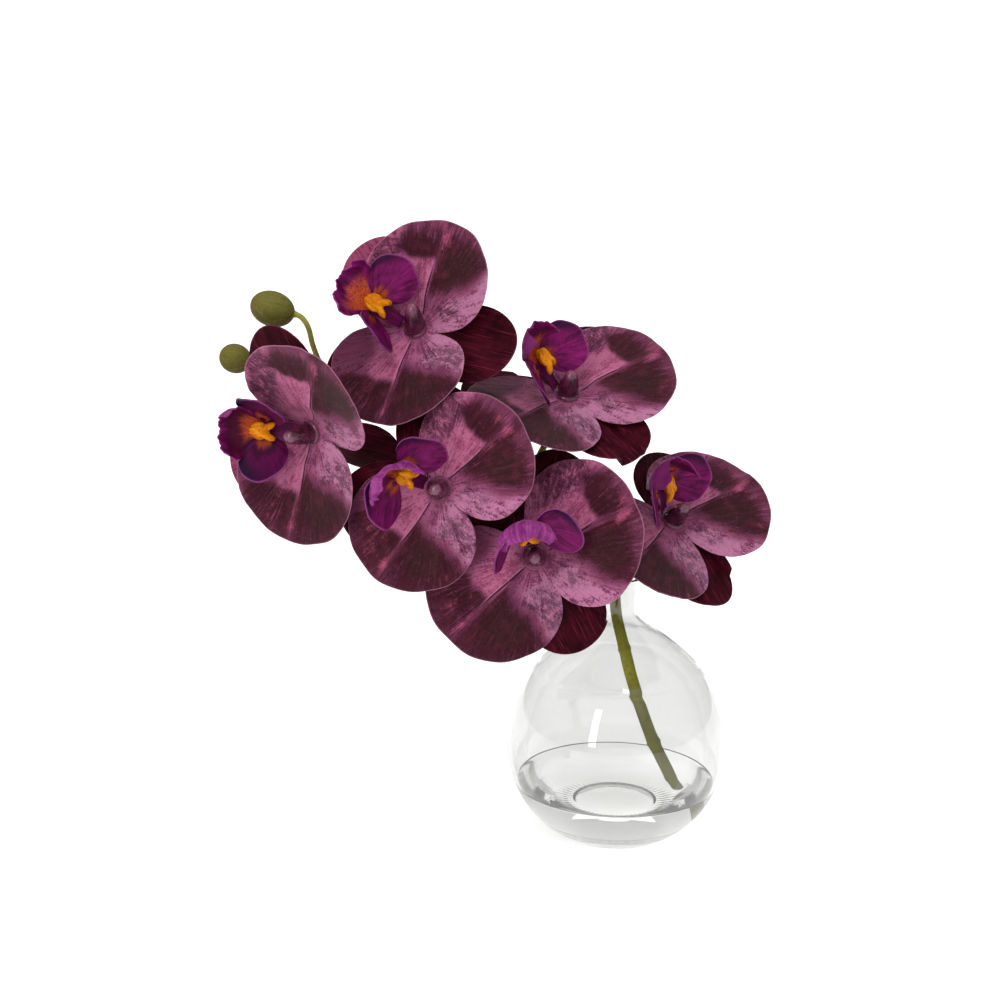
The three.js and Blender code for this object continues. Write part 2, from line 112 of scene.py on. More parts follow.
# The column's radius and height, from its foot ring up to its blunt tip
COLUMN = [(0, 0.75), (4.4, 0.75), (4.75, 0.95), (4.85, 1.3), (4.7, 1.75), (4.4, 2.05), (4.15, 2.35),
          (4.1, 3.2), (4.05, 5), (3.8, 7), (3.45, 8.7), (3.0, 10.4), (2.45, 11.7), (1.6, 12.6),
          (0.8, 12.95), (0, 13)]
COLUMN_STEPS = 90
COLUMN_NECK = 2.25

# Each bloom: its place and turn, the length, swing and curl of its petals, the fold and twist of
# either petal, the direction, bend and size of each sepal and how mauve it is, the turn and rise of
# its lip, the scoop's width, roll, curl and lean, the stand, sweep and twist of each side lobe, and
# the column's lean. tones says how far the orange spreads in the scoop, how dark the outside of the
# lip is, and how dark its side lobes are.
BLOOMS = [
    dict(at=(-85.6, -4, 216.7), yaw=-18, pitch=38, roll=-98, reach=45, swing=87, curl=-0.25,
         left=(19, 5), right=(5, 3), sepals=[(-1, 0, 1), (139, -14, 1), (-128, 6, 1)], blush=(0, 0.9, 0),
         turn=-4, rise=40, scoop=(1.15, 0.7, 10, 0), lobes=[(16, 10, 0), (20, 25, -40)],
         lean=(-0.35, 0), tones=(0.8, 0, 0)),
    dict(at=(-125.5, -28, 179.5), yaw=-40, pitch=-5, roll=-106, reach=46, swing=82, curl=-0.3,
         left=(20, -11), right=(13, -5), sepals=[(-14, 46, 0.64), (128, -10, 1.05), (-131, -16, 1)],
         blush=(0, 0.2, 0.9), turn=12, rise=32, scoop=(1.15, 0.8, 35, 0), lobes=[(35, 10, 10), (30, 10, 0)],
         lean=(0, -0.2), tones=(0, 0.1, 0.8)),
    dict(at=(-74.7, -44, 161.3), yaw=-9, pitch=16, roll=-128, reach=43, swing=83, curl=0.1,
         left=(8, 9), right=(2, 4), sepals=[(0, 34, 0.75), (137, 21, 0.98), (-124, 10, 1)], blush=(0, 0, 0),
         turn=18, rise=50, scoop=(1.25, 0.8, 80, -35), lobes=[(30, 10, 10), (0, -20, 0)],
         lean=(0, 0.05), tones=(0.4, 0, 0.1)),
    dict(at=(-36.5, -40, 133.4), yaw=-6, pitch=13, roll=-141, reach=48, swing=82, curl=0.15,
         left=(16, 15), right=(6, -17), sepals=[(-11, 3, 1), (127, 5, 1), (-120, 42, 1)], blush=(0, 0, 0),
         turn=-26, rise=60, scoop=(1.2, 0.8, 95, 0), lobes=[(10, 10, 20), (40, -5, -10)],
         lean=(-0.1, 0.05), tones=(0.4, 0, 0.1)),
    dict(at=(-24.3, 1, 189.2), yaw=11, pitch=63, roll=-150, reach=46.5, swing=81, curl=0.07,
         left=(13, 0), right=(11, 2), sepals=[(0, -2, 1), (128, -16, 1), (-128, 0, 1)], blush=(0, 0, 0),
         turn=34, rise=52, scoop=(1.05, 0.8, 45, -20), lobes=[(38, 18, 0), (5, 15, -10)],
         lean=(0, 0.05), tones=(0.4, 0.8, 0)),
    dict(at=(19.5, -8, 139.5), yaw=33, pitch=51, roll=-158, reach=46, swing=82, curl=0.1,
         left=(8, 6), right=(8, -2), sepals=[(-19, 2, 0.95), (124, 8, 1), (-118, 12, 1)], blush=(0, 0, 0),
         turn=20, rise=60, scoop=(1.4, 0.9, 55, -35), lobes=[(40, 18, 0), (0, -5, 0)],
         lean=(0.12, 0.12), tones=(0.3, 0.9, 0)),
]

# The spike, from its cut foot in the water to its tip. Its joints and the roots of the flower
# stalks are shares of its length.
SPIKE_ROUTE = [
    (26.8, 0, 14.5), (24, 0, 23.5), (15.7, 0, 40.5), (10.2, 0, 54.7), (5.6, 0, 68.4), (2.2, 0, 81.1),
    (-1.3, 0, 95.5), (-2.4, 0, 104), (-2.6, 0, 112.5), (-7.5, 1, 121), (-16, 2, 130), (-31, 3, 146.5),
    (-47, 3, 162), (-66, 6, 177.5), (-84, 11, 187.5), (-101, 12, 193), (-118, 9, 194.5),
]
SPIKE_STEPS = 260
SPIKE_RADIUS_LOW = 2.7
SPIKE_RADIUS_HIGH = 1.6
SPIKE_SIDES = 24
JOINTS = [0.125, 0.3125, 0.5, 0.66, 0.82]
JOINT_AHEAD = [-3.2, -1.0, 0, 0.6, 3.6]
JOINT_SWELL = [-0.1, 0.15, 0.5, 0.12, -0.1]
PEDICEL_ROOTS = [0.9, 0.97, 0.8, 0.66, 0.72, 0.6]
PEDICEL_RADIUS = 1.4
STALK_SIDES = 18
BUD_STALK_RADIUS = 1.15
STALK_INTO_BUD = 2.2
BUDS = [
    dict(name="bud_1", stalk=[(-118, 9, 194.5), (-124, 3, 200), (-127, -2, 208.5), (-129, -4, 217),
                              (-131.5, -4, 220.6), (-133.4, -4, 221.6)],
         centre=(-143.5, -4, 224), radii=(9.6, 7.2, 7.2), tilt=18),
    dict(name="bud_2", stalk=[(-118, 9, 194.5), (-128, 3, 198.5), (-140, -4, 202), (-151.5, -4, 202.9)],
         centre=(-158.5, -4, 203.4), radii=(6.9, 6, 6), tilt=20),
]

# The petals' print. A colour of three numbers is as it shows on a screen, 0 to 255, and one of four
# is in shares of light. Two colours together are the ends of a mottled one.
MAUVE = (96, 40, 68), (148, 79, 113)
PINK = (126, 56, 84), (170, 94, 126)
PALE = (164, 104, 136)
BURGUNDY = (36, 3, 10)
OLIVE = (31, 12, 8)
WINE = (70, 22, 36)
BLOT = (42, 8, 26)
TIP_PINK = (152, 70, 100)
VEIN_LIGHT = (178, 118, 146)
VEIN_DARK = (34, 6, 16)
CREASE = (30, 3, 13)
CUT_EDGE = (176, 118, 140)
PETAL_BACK = (76, 34, 54)

# The sepals' print
SEPAL_RED = (33, 3, 10), (62, 9, 25)
SEPAL_STREAK = (26, 2, 8)
SEPAL_HAIR = (120, 38, 56)
SEPAL_MAUVE = (134, 62, 90), (100, 38, 62)
SEPAL_DOT = (58, 14, 34)
SEPAL_TAN = (170, 112, 110)
SEPAL_EDGE = (120, 60, 78)
SEPAL_BACK = (70, 22, 38)

# The lips and the calluses on them
LIP_PURPLE = (60, 3, 44), (116, 18, 86)
LIP_LINES = (40, 2, 34), (150, 50, 126)
LIP_DUSK = (50, 2, 36)
LIP_NIGHT = (22, 8, 34)
LIP_DEEP = (62, 8, 32)
LIP_INK = (46, 6, 34)
LIP_EMBER = (190, 84, 40), (128, 36, 26)
LIP_SPOT = (64, 8, 24)
# The lips' pale rim is partly their own edge colour and partly a painted highlight.
LIP_EDGE_AND_HIGHLIGHT = (160, 76, 144)
LIP_OUTSIDE = (94, 22, 82), (148, 62, 128)
LIP_SHADE = (78, 8, 60)
CALLUS_YELLOW = (178, 98, 0), (206, 130, 2)
CALLUS_SPECK = (158, 50, 10)

# The columns, the stem, the buds, the glass and the studio
COLUMN_PURPLE = (44, 8, 26), (82, 26, 50)
COLUMN_TIP = (104, 52, 74)
COLUMN_FOOT = (112, 52, 78)
STEM_LOW = (86, 86, 8), (108, 106, 14)
# The stem's colours above the vase and in the upper bulb are painted light: paler where the blooms shade the
# stem.
STEM_HIGH_PAINTED_LIGHT = (122, 118, 38), (150, 142, 60)
STEM_PAINTED_LIGHT = (166, 163, 58)
STEM_MOTTLE = (66, 62, 16)
STEM_FIBRE = (128, 126, 48)
# The bud's olive runs from painted shade underneath to painted light on top.
BUD_OLIVE_SHADE_TO_LIGHT = (74, 66, 16), (92, 88, 34)
BUD_MOTTLE = (70, 60, 26)
BUD_RIB = (118, 114, 56)
BUD_TIP = (94, 62, 30)
GLASS_TINT = (0.785, 0.787, 0.778, 1)
GLASS_LOW_TINT = (1.0, 1.0, 0.992, 1)
GLASS_SHADE = (0.97, 0.97, 0.97, 1)
GLASS_WAVE = (0.92, 0.92, 0.92, 1)
WATER_TINT = (0.99, 0.992, 0.988, 1)
PAPER = (246, 246, 246), (249, 249, 249)
WHITE = (1, 1, 1, 1)
SHEEN_TINT = (0.95, 1.0, 0.95, 1.0)

# The camera and the light
LENS = 90
SENSOR = 36
CAMERA_RISE = 15.5
CAMERA_ROLL = 1.0
CAMERA_DISTANCE = 1025.0
CAMERA_TARGET = (-50.74, 0.0, 145.04)
SKY_LOW = 0.56
SKY_HIGH = 0.98
SUN_STRENGTH = 1.08
SUN_WIDTH = 50
FLOOR_HALF = 15000.0
FLOOR_GLOW = 0.28
LIGHT_BOUNCES = 32


def turn_x(angle):
    c, s = cos(radians(angle)), sin(radians(angle))
    return np.array([[1, 0, 0], [0, c, -s], [0, s, c]])


def turn_y(angle):
    c, s = cos(radians(angle)), sin(radians(angle))
    return np.array([[c, 0, s], [0, 1, 0], [-s, 0, c]])


def turn_z(angle):
    c, s = cos(radians(angle)), sin(radians(angle))
    return np.array([[c, -s, 0], [s, c, 0], [0, 0, 1]])


def smooth(value, low, high):
    """A soft step from 0 at low to 1 at high."""
    t = np.clip((value - low) / (high - low), 0, 1)
    return t * t * (3 - 2 * t)


def fade(value, low, high):
    return 1 - smooth(value, low, high)


def band(value, low, high, soft):
    """1 between low and high, and 0 beyond them, with soft borders."""
    return smooth(value, low - soft, low + soft) * fade(value, high - soft, high + soft)


def spot(value, middle, width):
    return np.exp(-((value - middle) / width) ** 2)


def most(*fields):
    return np.maximum.reduce(np.broadcast_arrays(*fields))


def unit(vectors):
    return vectors / np.maximum(np.linalg.norm(vectors, axis=-1, keepdims=True), 1e-12)


def stretch(rows, share):
    """The two rows that share, from 0 to 1, falls between, the rows beside them, and how far
    share has gone from one to the next."""
    rows = np.asarray(rows, float)
    place = (len(rows) - 1) * min(max(share, 0), 1)
    i = min(int(place), len(rows) - 2)
    before = rows[i - 1] if i > 0 else 2 * rows[i] - rows[i + 1]
    after = rows[i + 2] if i + 2 < len(rows) else 2 * rows[i + 1] - rows[i]
    return before, rows[i], rows[i + 1], after, place - i


def between(b, c, m, n, w):
    """The smooth line from b to c, w of the way, which leaves b along m and meets c along n."""
    return b + m * w + (-3 * b + 3 * c - 2 * m - n) * w ** 2 + (2 * b - 2 * c + m + n) * w ** 3


def curve(points, share):
    """A point on the smooth line through points, which doesn't swing out where they lie unevenly."""
    a, b, c, d, w = stretch(points, share)
    p, q, r = (max(np.linalg.norm(v) ** 0.5, 1e-4) for v in (b - a, c - b, d - c))
    m = ((b - a) / p - (c - a) / (p + q) + (c - b) / q) * q
    n = ((c - b) / q - (d - b) / (q + r) + (d - c) / r) * q
    return between(b, c, m, n, w)


def spline(table, share):
    """A row read from a table of rows, on a smooth line through them."""
    a, b, c, d, w = stretch(table, share)
    return between(b, c, (c - a) / 2, (d - b) / 2, w)


class Shell:
    """Vertices, faces and per-vertex values that are collected for one mesh."""

    def __init__(self):
        self.points, self.faces, self.values, self.count = [], [], {}, 0

    def add(self, points, faces, **values):
        points = np.asarray(points, float).reshape(-1, 3)
        self.points.append(points)
        self.faces += [tuple(i + self.count for i in face) for face in faces]
        for name, value in values.items():
            self.values.setdefault(name, []).append((self.count, np.asarray(value, float)))
        self.count += len(points)

    def piece(self, name, turn=np.eye(3), at=(0, 0, 0)):
        points = (np.concatenate(self.points) @ turn.T + np.asarray(at, float)) * MM
        mesh = bpy.data.meshes.new(name)
        mesh.from_pydata(points.tolist(), [], self.faces)
        mesh.update()
        for key, parts in self.values.items():
            width = 1 if parts[0][1].ndim == 1 else 3
            whole = np.zeros((self.count, width))
            for start, value in parts:
                whole[start:start + len(value)] = value.reshape(-1, width)
            layer = mesh.attributes.new(key, "FLOAT" if width == 1 else "FLOAT_VECTOR", "POINT")
            layer.data.foreach_set("value" if width == 1 else "vector", whole.ravel())
        mesh.polygons.foreach_set("use_smooth", [True] * len(mesh.polygons))
        thing = bpy.data.objects.new(name, mesh)
        bpy.context.scene.collection.objects.link(thing)
        return thing


def sheet(shell, grid, thickness, **fields):
    """A closed thin sheet on a grid of points, a little thinner along its border. A field is a
    value for the grid, or three of them."""
    rows, columns = grid.shape[:2]
    normal = unit(np.cross(np.gradient(grid, axis=0), np.gradient(grid, axis=1)))
    half = np.full((rows, columns), thickness / 2)
    half[[0, -1], :] *= BORDER_THIN
    half[:, [0, -1]] = thickness / 2 * BORDER_THIN
    top = grid + normal * half[..., None]
    low = grid - normal * half[..., None]
    layer = rows * columns
    index = np.arange(layer).reshape(rows, columns)
    faces = []
    for i in range(rows - 1):
        for j in range(columns - 1):
            a, b, c, d = index[i, j], index[i + 1, j], index[i + 1, j + 1], index[i, j + 1]
            faces.append((a, b, c, d))
            faces.append((a + layer, d + layer, c + layer, b + layer))
    border = np.concatenate([index[:-1, 0], index[-1, :-1], index[:0:-1, -1], index[0, :0:-1]])
    faces += [(a, a + layer, b + layer, b) for a, b in zip(border, np.roll(border, -1))]
    both = {"front": np.repeat([1.0, 0.0], layer)}
    for name, parts in fields.items():
        if isinstance(parts, tuple):
            value = np.stack([np.broadcast_to(part, (rows, columns)) for part in parts], -1).reshape(-1, 3)
        else:
            value = np.broadcast_to(parts, (rows, columns)).ravel()
        both[name] = np.concatenate([value, value])
    shell.add(np.concatenate([top.reshape(-1, 3), low.reshape(-1, 3)]), faces, **both)


def skin(count, sides):
    """The faces round count rings of points, which a point closes at either end."""
    index = np.arange(count * sides).reshape(count, sides)
    start, end = count * sides, count * sides + 1
    faces = []
    for i in range(count - 1):
        for j in range(sides):
            k = (j + 1) % sides
            faces.append((index[i, j], index[i, k], index[i + 1, k], index[i + 1, j]))
    for j in range(sides):
        k = (j + 1) % sides
        faces.append((start, index[0, k], index[0, j]))
        faces.append((end, index[-1, j], index[-1, k]))
    return faces


def lathe(profile, sides):
    """A closed solid of revolution round Z. Its profile starts and ends on the axis."""
    profile = np.asarray(profile, float)
    turn = np.arange(sides) * 2 * pi / sides
    radius, height = profile[1:-1, :1], profile[1:-1, 1:]
    rings = np.stack([radius * np.cos(turn), radius * np.sin(turn), np.repeat(height, sides, 1)], -1)
    points = np.concatenate([rings.reshape(-1, 3), [[0, 0, profile[0, 1]], [0, 0, profile[-1, 1]]]])
    return points, skin(len(radius), sides)


def tube(shell, points, radii, sides, ends=(1.0, 1.0)):
    """A closed round tube along points. ends says how far a low point closes either end."""
    points = np.asarray(points, float)
    tangent = unit(np.gradient(points, axis=0))
    side = np.cross(tangent[0], (0, 1, 0.3))
    turn = (np.arange(sides) * 2 * pi / sides)[:, None]
    rings = []
    for point, direction, radius in zip(points, tangent, radii):
        side = unit(side - direction * (side @ direction))
        other = np.cross(direction, side)
        rings.append(point + radius * (np.cos(turn) * side + np.sin(turn) * other))
    tips = [points[0] - tangent[0] * radii[0] * 0.3 * ends[0],
            points[-1] + tangent[-1] * radii[-1] * 0.3 * ends[1]]
    shell.add(np.concatenate(rings + [tips]), skin(len(points), sides))


def ball(shell, radii, centre, turn, sides=48, rings=32, shape=None):
    """A closed ball with three radii. shape may push its points in or out."""
    tilt = (pi * np.arange(1, rings) / rings)[:, None]
    side = 2 * pi * np.arange(sides) / sides
    points = np.stack(np.broadcast_arrays(np.sin(tilt) * np.cos(side), np.sin(tilt) * np.sin(side),
                                          np.cos(tilt)), -1)
    points = np.concatenate([points.reshape(-1, 3), [(0, 0, 1), (0, 0, -1)]])
    if shape is not None:
        points = points * shape(points)[:, None]
    index = np.arange((rings - 1) * sides).reshape(rings - 1, sides)
    top, low = (rings - 1) * sides, (rings - 1) * sides + 1
    faces = []
    for j in range(sides):
        k = (j + 1) % sides
        faces.append((top, index[0, j], index[0, k]))
        faces.append((low, index[-1, k], index[-1, j]))
        for i in range(rings - 2):
            faces.append((index[i, j], index[i + 1, j], index[i + 1, k], index[i, k]))
    shell.add(points * np.asarray(radii) @ turn.T + np.asarray(centre), faces, local=points)


def melt(piece, voxel, smoothing):
    """Joins the overlapping solids of a piece into one skin."""
    remesh = piece.modifiers.new("melt", "REMESH")
    remesh.mode = "VOXEL"
    remesh.voxel_size = voxel * MM
    remesh.use_smooth_shade = True
    soften = piece.modifiers.new("soften", "SMOOTH")
    soften.iterations = smoothing
    soften.factor = 0.5
    graph = bpy.context.evaluated_depsgraph_get()
    made = bpy.data.meshes.new_from_object(piece.evaluated_get(graph))
    piece.modifiers.clear()
    piece.data = made
    made.polygons.foreach_set("use_smooth", [True] * len(made.polygons))
    return piece


def keep(piece, material, node):
    """Gives a piece its material, and puts it in the place of its node."""
    piece.data.materials.clear()
    piece.data.materials.append(material)
    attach(piece, "root")
    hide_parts(node)


class Field:
    """A value that varies over a surface. Sums and products of fields are fields too."""

    def __init__(self, nodes, socket):
        self.nodes, self.socket = nodes, socket

    def __add__(self, other):
        return self.nodes.math("ADD", self, other)

    def __mul__(self, other):
        return self.nodes.math("MULTIPLY", self, other)

    __radd__, __rmul__ = __add__, __mul__

    def size(self):
        return self.nodes.math("ABSOLUTE", self)

    def centred(self, size):
        """A field from 0 to 1, as one from -size to +size."""
        return (self + -0.5) * (2 * size)

    def ramp(self, low, high, start=0.0, end=1.0):
        """A soft step from start to end, as this field goes from low to high."""
        inputs = {"Value": self, "From Min": low, "From Max": high, "To Min": start, "To Max": end}
        return self.nodes.make("MapRange", 0, inputs, interpolation_type="SMOOTHSTEP")

    def fall(self, low, high):
        return self.ramp(low, high, 1.0, 0.0)


def colour(red, green, blue):
    """A colour as it shows on a screen, 0 to 255, as the light that it reflects."""
    def light(value):
        value /= 255
        return value / 12.92 if value <= 0.04045 else ((value + 0.055) / 1.055) ** 2.4
    return (light(red), light(green), light(blue), 1.0)


class Nodes:
    """A tree of shader nodes that is built up from fields."""

    def __init__(self, tree):
        self.tree = tree

    def link(self, source, socket):
        if isinstance(source, Field):
            self.tree.links.new(source.socket, socket)
        elif socket.type == "RGBA" and len(source) == 3:
            socket.default_value = colour(*source)
        else:
            socket.default_value = source

    def make(self, kind, output=0, inputs=None, **settings):
        """Makes a node with its settings and inputs, and gives one of its outputs."""
        node = self.tree.nodes.new("ShaderNode" + kind)
        for name, value in settings.items():
            setattr(node, name, value)
        for place, value in (inputs or {}).items():
            self.link(value, node.inputs[place])
        return Field(self, node.outputs[output])

    def math(self, operation, *values):
        return self.make("Math", 0, dict(enumerate(values)), operation=operation)

    def mix(self, share, first, second):
        return self.make("Mix", 2, {"Factor": share, 6: first, 7: second}, data_type="RGBA")

    def split(self, vector):
        parts = self.make("SeparateXYZ", 0, {0: vector}).socket.node.outputs
        return [Field(self, part) for part in parts]

    def vector(self, x, y, z):
        return self.make("CombineXYZ", 0, {0: x, 1: y, 2: z})

    def noise(self, vector, scale, detail, roughness):
        inputs = {"Vector": vector, "Scale": scale, "Detail": detail, "Roughness": roughness}
        return self.make("TexNoise", "Fac", inputs)

    def pattern(self, a, b, seed, scales, detail, roughness):
        """Noise that is laid out on a sheet, with its own scale along a and along b."""
        return self.noise(self.vector(a * scales[0], b * scales[1], seed), 1.0, detail, roughness)


class Look(Nodes):
    """A material, and the colour that is laid on it so far."""

    def __init__(self, name):
        self.material = bpy.data.materials.new(name)
        self.material.use_nodes = True
        super().__init__(self.material.node_tree)
        self.tree.nodes.clear()
        self.shader = self.tree.nodes.new("ShaderNodeBsdfPrincipled")
        self.output = self.tree.nodes.new("ShaderNodeOutputMaterial")
        self.tree.links.new(self.shader.outputs[0], self.output.inputs["Surface"])
        self.place = self.make("TexCoord", "Object")
        self.base = None

    def value(self, name):
        return self.make("Attribute", "Fac", attribute_name=name)

    def values(self, name):
        return self.split(self.make("Attribute", "Vector", attribute_name=name))

    def cover(self, paint, share):
        self.base = self.mix(share, self.base, paint)

    def line(self, back, share):
        """Paints the sheet's back, which mixes its own colour with the front's."""
        behind = self.mix(share, self.base, back)
        self.base = self.mix(self.value("front"), behind, self.base)

    def bump(self, height, distance, strength):
        inputs = {"Height": height, "Distance": distance * MM, "Strength": strength}
        self.link(self.make("Bump", 0, inputs), self.shader.inputs["Normal"])

    def finish(self, **values):
        """Sets the shader's inputs, and gives the material."""
        self.link(self.base, self.shader.inputs["Base Color"])
        for name, value in values.items():
            self.link(value, self.shader.inputs[name.replace("_", " ")])
        return self.material


def petal_look():
    """Printed cloth in dusky mauve, with dark patches, pale blots, streaks that spread out from the
    middle of the bloom, and a crease down the petal."""
    look = Look("petal_print")
    u, v, seed = look.values("place")
    angle, radius, _ = look.values("fan")
    dark, pale, wedge = look.values("paint")
    olive, speck, tip = look.values("paint_more")
    cloud = look.pattern(u, v, seed, (6.5, 6.5), 6, 0.7)
    feather = look.pattern(angle, radius, seed, (15, 2.6), 5, 0.7)
    vein = look.pattern(angle, radius, seed, (50, 4), 4, 0.65)
    grain = look.pattern(u, v, seed, (56, 56), 4, 0.78)
    weave = look.pattern(u, v, seed, (160, 160), 2, 0.6)
    blots = look.pattern(u, v, seed, (22, 12), 5, 0.78)
    stir = cloud.centred(0.75) + feather.centred(0.7) + grain.centred(0.7)
    tone = 0.5 + cloud.centred(0.9) + feather.centred(0.8) + grain.centred(0.6)
    look.base = look.mix(tone.ramp(0.22, 0.78), *MAUVE)
    look.cover(look.mix(tone.ramp(0.2, 0.8), *PINK), (wedge + stir * 0.9).ramp(0.1, 0.95))
    look.cover(PALE, (pale + stir * 1.6).ramp(0.3, 1.0))
    printed = look.mix((olive + cloud.centred(0.5)).ramp(0.15, 0.8), BURGUNDY, OLIVE)
    printed = look.mix(feather.ramp(0.42, 0.72) * 0.5, printed, WINE)
    printed = look.mix(cloud.ramp(0.46, 0.66) * 0.6, printed, WINE)
    inked = (dark + stir * 1.15).ramp(0.08, 0.92, 0.0, 0.97)
    look.cover(printed, inked)
    look.cover(BLOT, (blots + speck * 0.16).ramp(0.52, 0.7) * speck * 0.74)
    look.cover(TIP_PINK, (tip + stir * 0.8).ramp(0.3, 0.95, 0.0, 0.9))
    look.cover(TIP_PINK, vein.ramp(0.5, 0.72) * tip.ramp(0.04, 0.5) * 0.4)
    bare = 1.0 + inked * -0.9
    look.cover(VEIN_LIGHT, vein.ramp(0.5, 0.78) * 0.28 * bare)
    look.cover(VEIN_DARK, vein.fall(0.26, 0.46) * 0.45)
    look.cover(VEIN_LIGHT, grain.ramp(0.52, 0.8) * 0.24 * bare)
    look.cover(VEIN_DARK, grain.fall(0.2, 0.46) * 0.34)
    offset = v + look.math("SINE", u * CREASE_WAVES + seed) * -CREASE_WANDER
    length = u.ramp(0.1, 0.18) * u.fall(0.5, 0.64)
    look.cover(VEIN_LIGHT, (offset + 0.016).size().fall(0.002, 0.01) * length * 0.35)
    look.cover(CREASE, offset.size().fall(0.003, 0.011) * length * 0.92)
    look.cover(CUT_EDGE, look.value("rim").ramp(0.988, 1.0) * 0.5)
    look.line(PETAL_BACK, 0.45)
    look.bump(weave * 0.3 + vein * 0.8 + grain * 0.35, 0.16, 0.5)
    return look.finish(Roughness=weave.ramp(0.3, 0.7, 0.5, 0.66), Specular_IOR_Level=0.05,
                       Sheen_Weight=0.1, Sheen_Roughness=0.45, Sheen_Tint=SHEEN_TINT)


def sepal_look():
    """Darker printed cloth: burgundy with fine lengthwise streaks, and tan near the middle of the
    bloom. Some sepals are mauve instead."""
    look = Look("sepal_print")
    u, v, seed = look.values("place")
    _, radius, blush = look.values("fan")
    streak = look.pattern(v, u, seed, (26, 1.6), 5, 0.65)
    hair = look.pattern(v, u, seed, (90, 3), 2, 0.6)
    broad = look.pattern(u, v, seed, (4, 4), 3, 0.6)
    fine = look.pattern(u, v, seed, (50, 50), 3, 0.7)
    weave = look.pattern(u, v, seed, (170, 170), 2, 0.6)
    look.base = look.mix(broad.ramp(0.3, 0.7), *SEPAL_RED)
    look.cover(SEPAL_STREAK, streak.ramp(0.48, 0.7) * 0.7)
    look.cover(SEPAL_HAIR, hair.ramp(0.56, 0.72) * 0.5)
    mauve = look.mix(streak.ramp(0.4, 0.65), *SEPAL_MAUVE)
    mauve = look.mix(fine.ramp(0.58, 0.68), mauve, SEPAL_DOT)
    look.cover(mauve, (blush + broad.centred(0.3)).ramp(0.35, 0.75))
    near = (radius + hair.centred(0.3)).fall(0.16, 0.42) * 0.6
    look.cover(SEPAL_TAN, near * hair.ramp(0.42, 0.6))
    look.cover(SEPAL_EDGE, look.value("rim").ramp(0.986, 1.0) * 0.4)
    look.line(SEPAL_BACK, 0.3)
    look.bump(weave * 0.3 + hair * 0.9 + fine * 0.2, 0.16, 0.55)
    return look.finish(Roughness=weave.ramp(0.3, 0.7, 0.56, 0.7), Specular_IOR_Level=0.03)


def lip_look():
    """Satin cloth in magenta purple: brown orange round the callus, deep maroon inside the scoop,
    blue black towards the ends of the side lobes, and paler on the outside."""
    look = Look("lip_satin")
    across, along, seed = look.values("place")
    warm, ink, night = look.values("paint")
    deep, shade, dusk = look.values("depth")
    line = look.pattern(across, along, seed, (11, 1.5), 5, 0.65)
    broad = look.pattern(across, along, seed, (1.8, 3), 4, 0.6)
    fine = look.pattern(across, along, seed, (24, 28), 4, 0.7)
    weave = look.noise(look.place, 2400.0, 2, 0.6)
    stir = broad.centred(0.5) + line.centred(0.45) + fine.centred(0.3)
    tone = (0.5 + stir).ramp(0.2, 0.8)
    look.base = look.mix(tone, *LIP_PURPLE)
    look.cover(LIP_LINES[1], line.ramp(0.54, 0.78) * 0.3)
    look.cover(LIP_LINES[0], line.fall(0.24, 0.46) * 0.5)
    look.cover(LIP_DUSK, dusk * 0.75)
    look.cover(LIP_NIGHT, (night + stir * 0.8).ramp(0.35, 0.95, 0.0, 0.85))
    look.cover(LIP_DEEP, (deep + stir * 0.8).ramp(0.25, 0.85, 0.0, 0.92))
    look.cover(LIP_INK, (ink + line.centred(0.9)).ramp(0.5, 0.75) * 0.8)
    ember = look.mix(fine.ramp(0.42, 0.62), *LIP_EMBER)
    look.cover(ember, (warm + stir * 0.9).ramp(0.2, 0.95, 0.0, 0.95))
    look.cover(LIP_SPOT, fine.ramp(0.6, 0.68) * warm.ramp(0.05, 0.4) * 0.8)
    # The lip's rim is painted paler: partly its own edge colour, partly a painted highlight.
    look.cover(LIP_EDGE_AND_HIGHLIGHT, look.value("rim").ramp(0.965, 1.0) * 0.4)
    outside = look.mix(shade, look.mix(tone, *LIP_OUTSIDE), LIP_SHADE)
    look.base = look.mix(look.value("front"), outside, look.base)
    look.bump(weave * 0.4 + line * 0.8 + fine * 0.3, 0.16, 0.55)
    return look.finish(Roughness=weave.ramp(0.3, 0.7, 0.42, 0.58), Specular_IOR_Level=0.08)


def callus_look():
    look = Look("callus_paint")
    broad = look.noise(look.place, 260.0, 3, 0.6)
    speck = look.noise(look.place, 1100.0, 3, 0.7)
    look.base = look.mix(broad.ramp(0.35, 0.65), *CALLUS_YELLOW)
    look.cover(CALLUS_SPECK, speck.ramp(0.57, 0.66) * 0.75)
    look.bump(broad + speck * 0.35, 0.35, 0.6)
    return look.finish(Roughness=speck.ramp(0.3, 0.7, 0.36, 0.5), Specular_IOR_Level=0.12,
                       Subsurface_Weight=0.08, Subsurface_Radius=(1.2 * MM, 0.7 * MM, 0.2 * MM),
                       Subsurface_Scale=1.0)


def column_look():
    """Moulded plastic: dark purple, with a paler see-through tip and foot ring."""
    look = Look("column_gloss")
    rise = look.value("rise")
    broad = look.noise(look.place, 300.0, 3, 0.6)
    fine = look.noise(look.place, 1500.0, 3, 0.6)
    look.base = look.mix(broad.ramp(0.35, 0.65), *COLUMN_PURPLE)
    look.cover(COLUMN_TIP, (rise + broad.centred(0.12)).ramp(0.8, 1.0))
    look.cover(COLUMN_FOOT, (rise + fine.centred(0.03)).fall(0.1, 0.17))
    look.bump(broad + fine * 0.3, 0.25, 0.4)
    return look.finish(Roughness=fine.ramp(0.3, 0.7, 0.16, 0.32), Specular_IOR_Level=0.4,
                       Coat_Weight=0.25, Coat_Roughness=0.08)


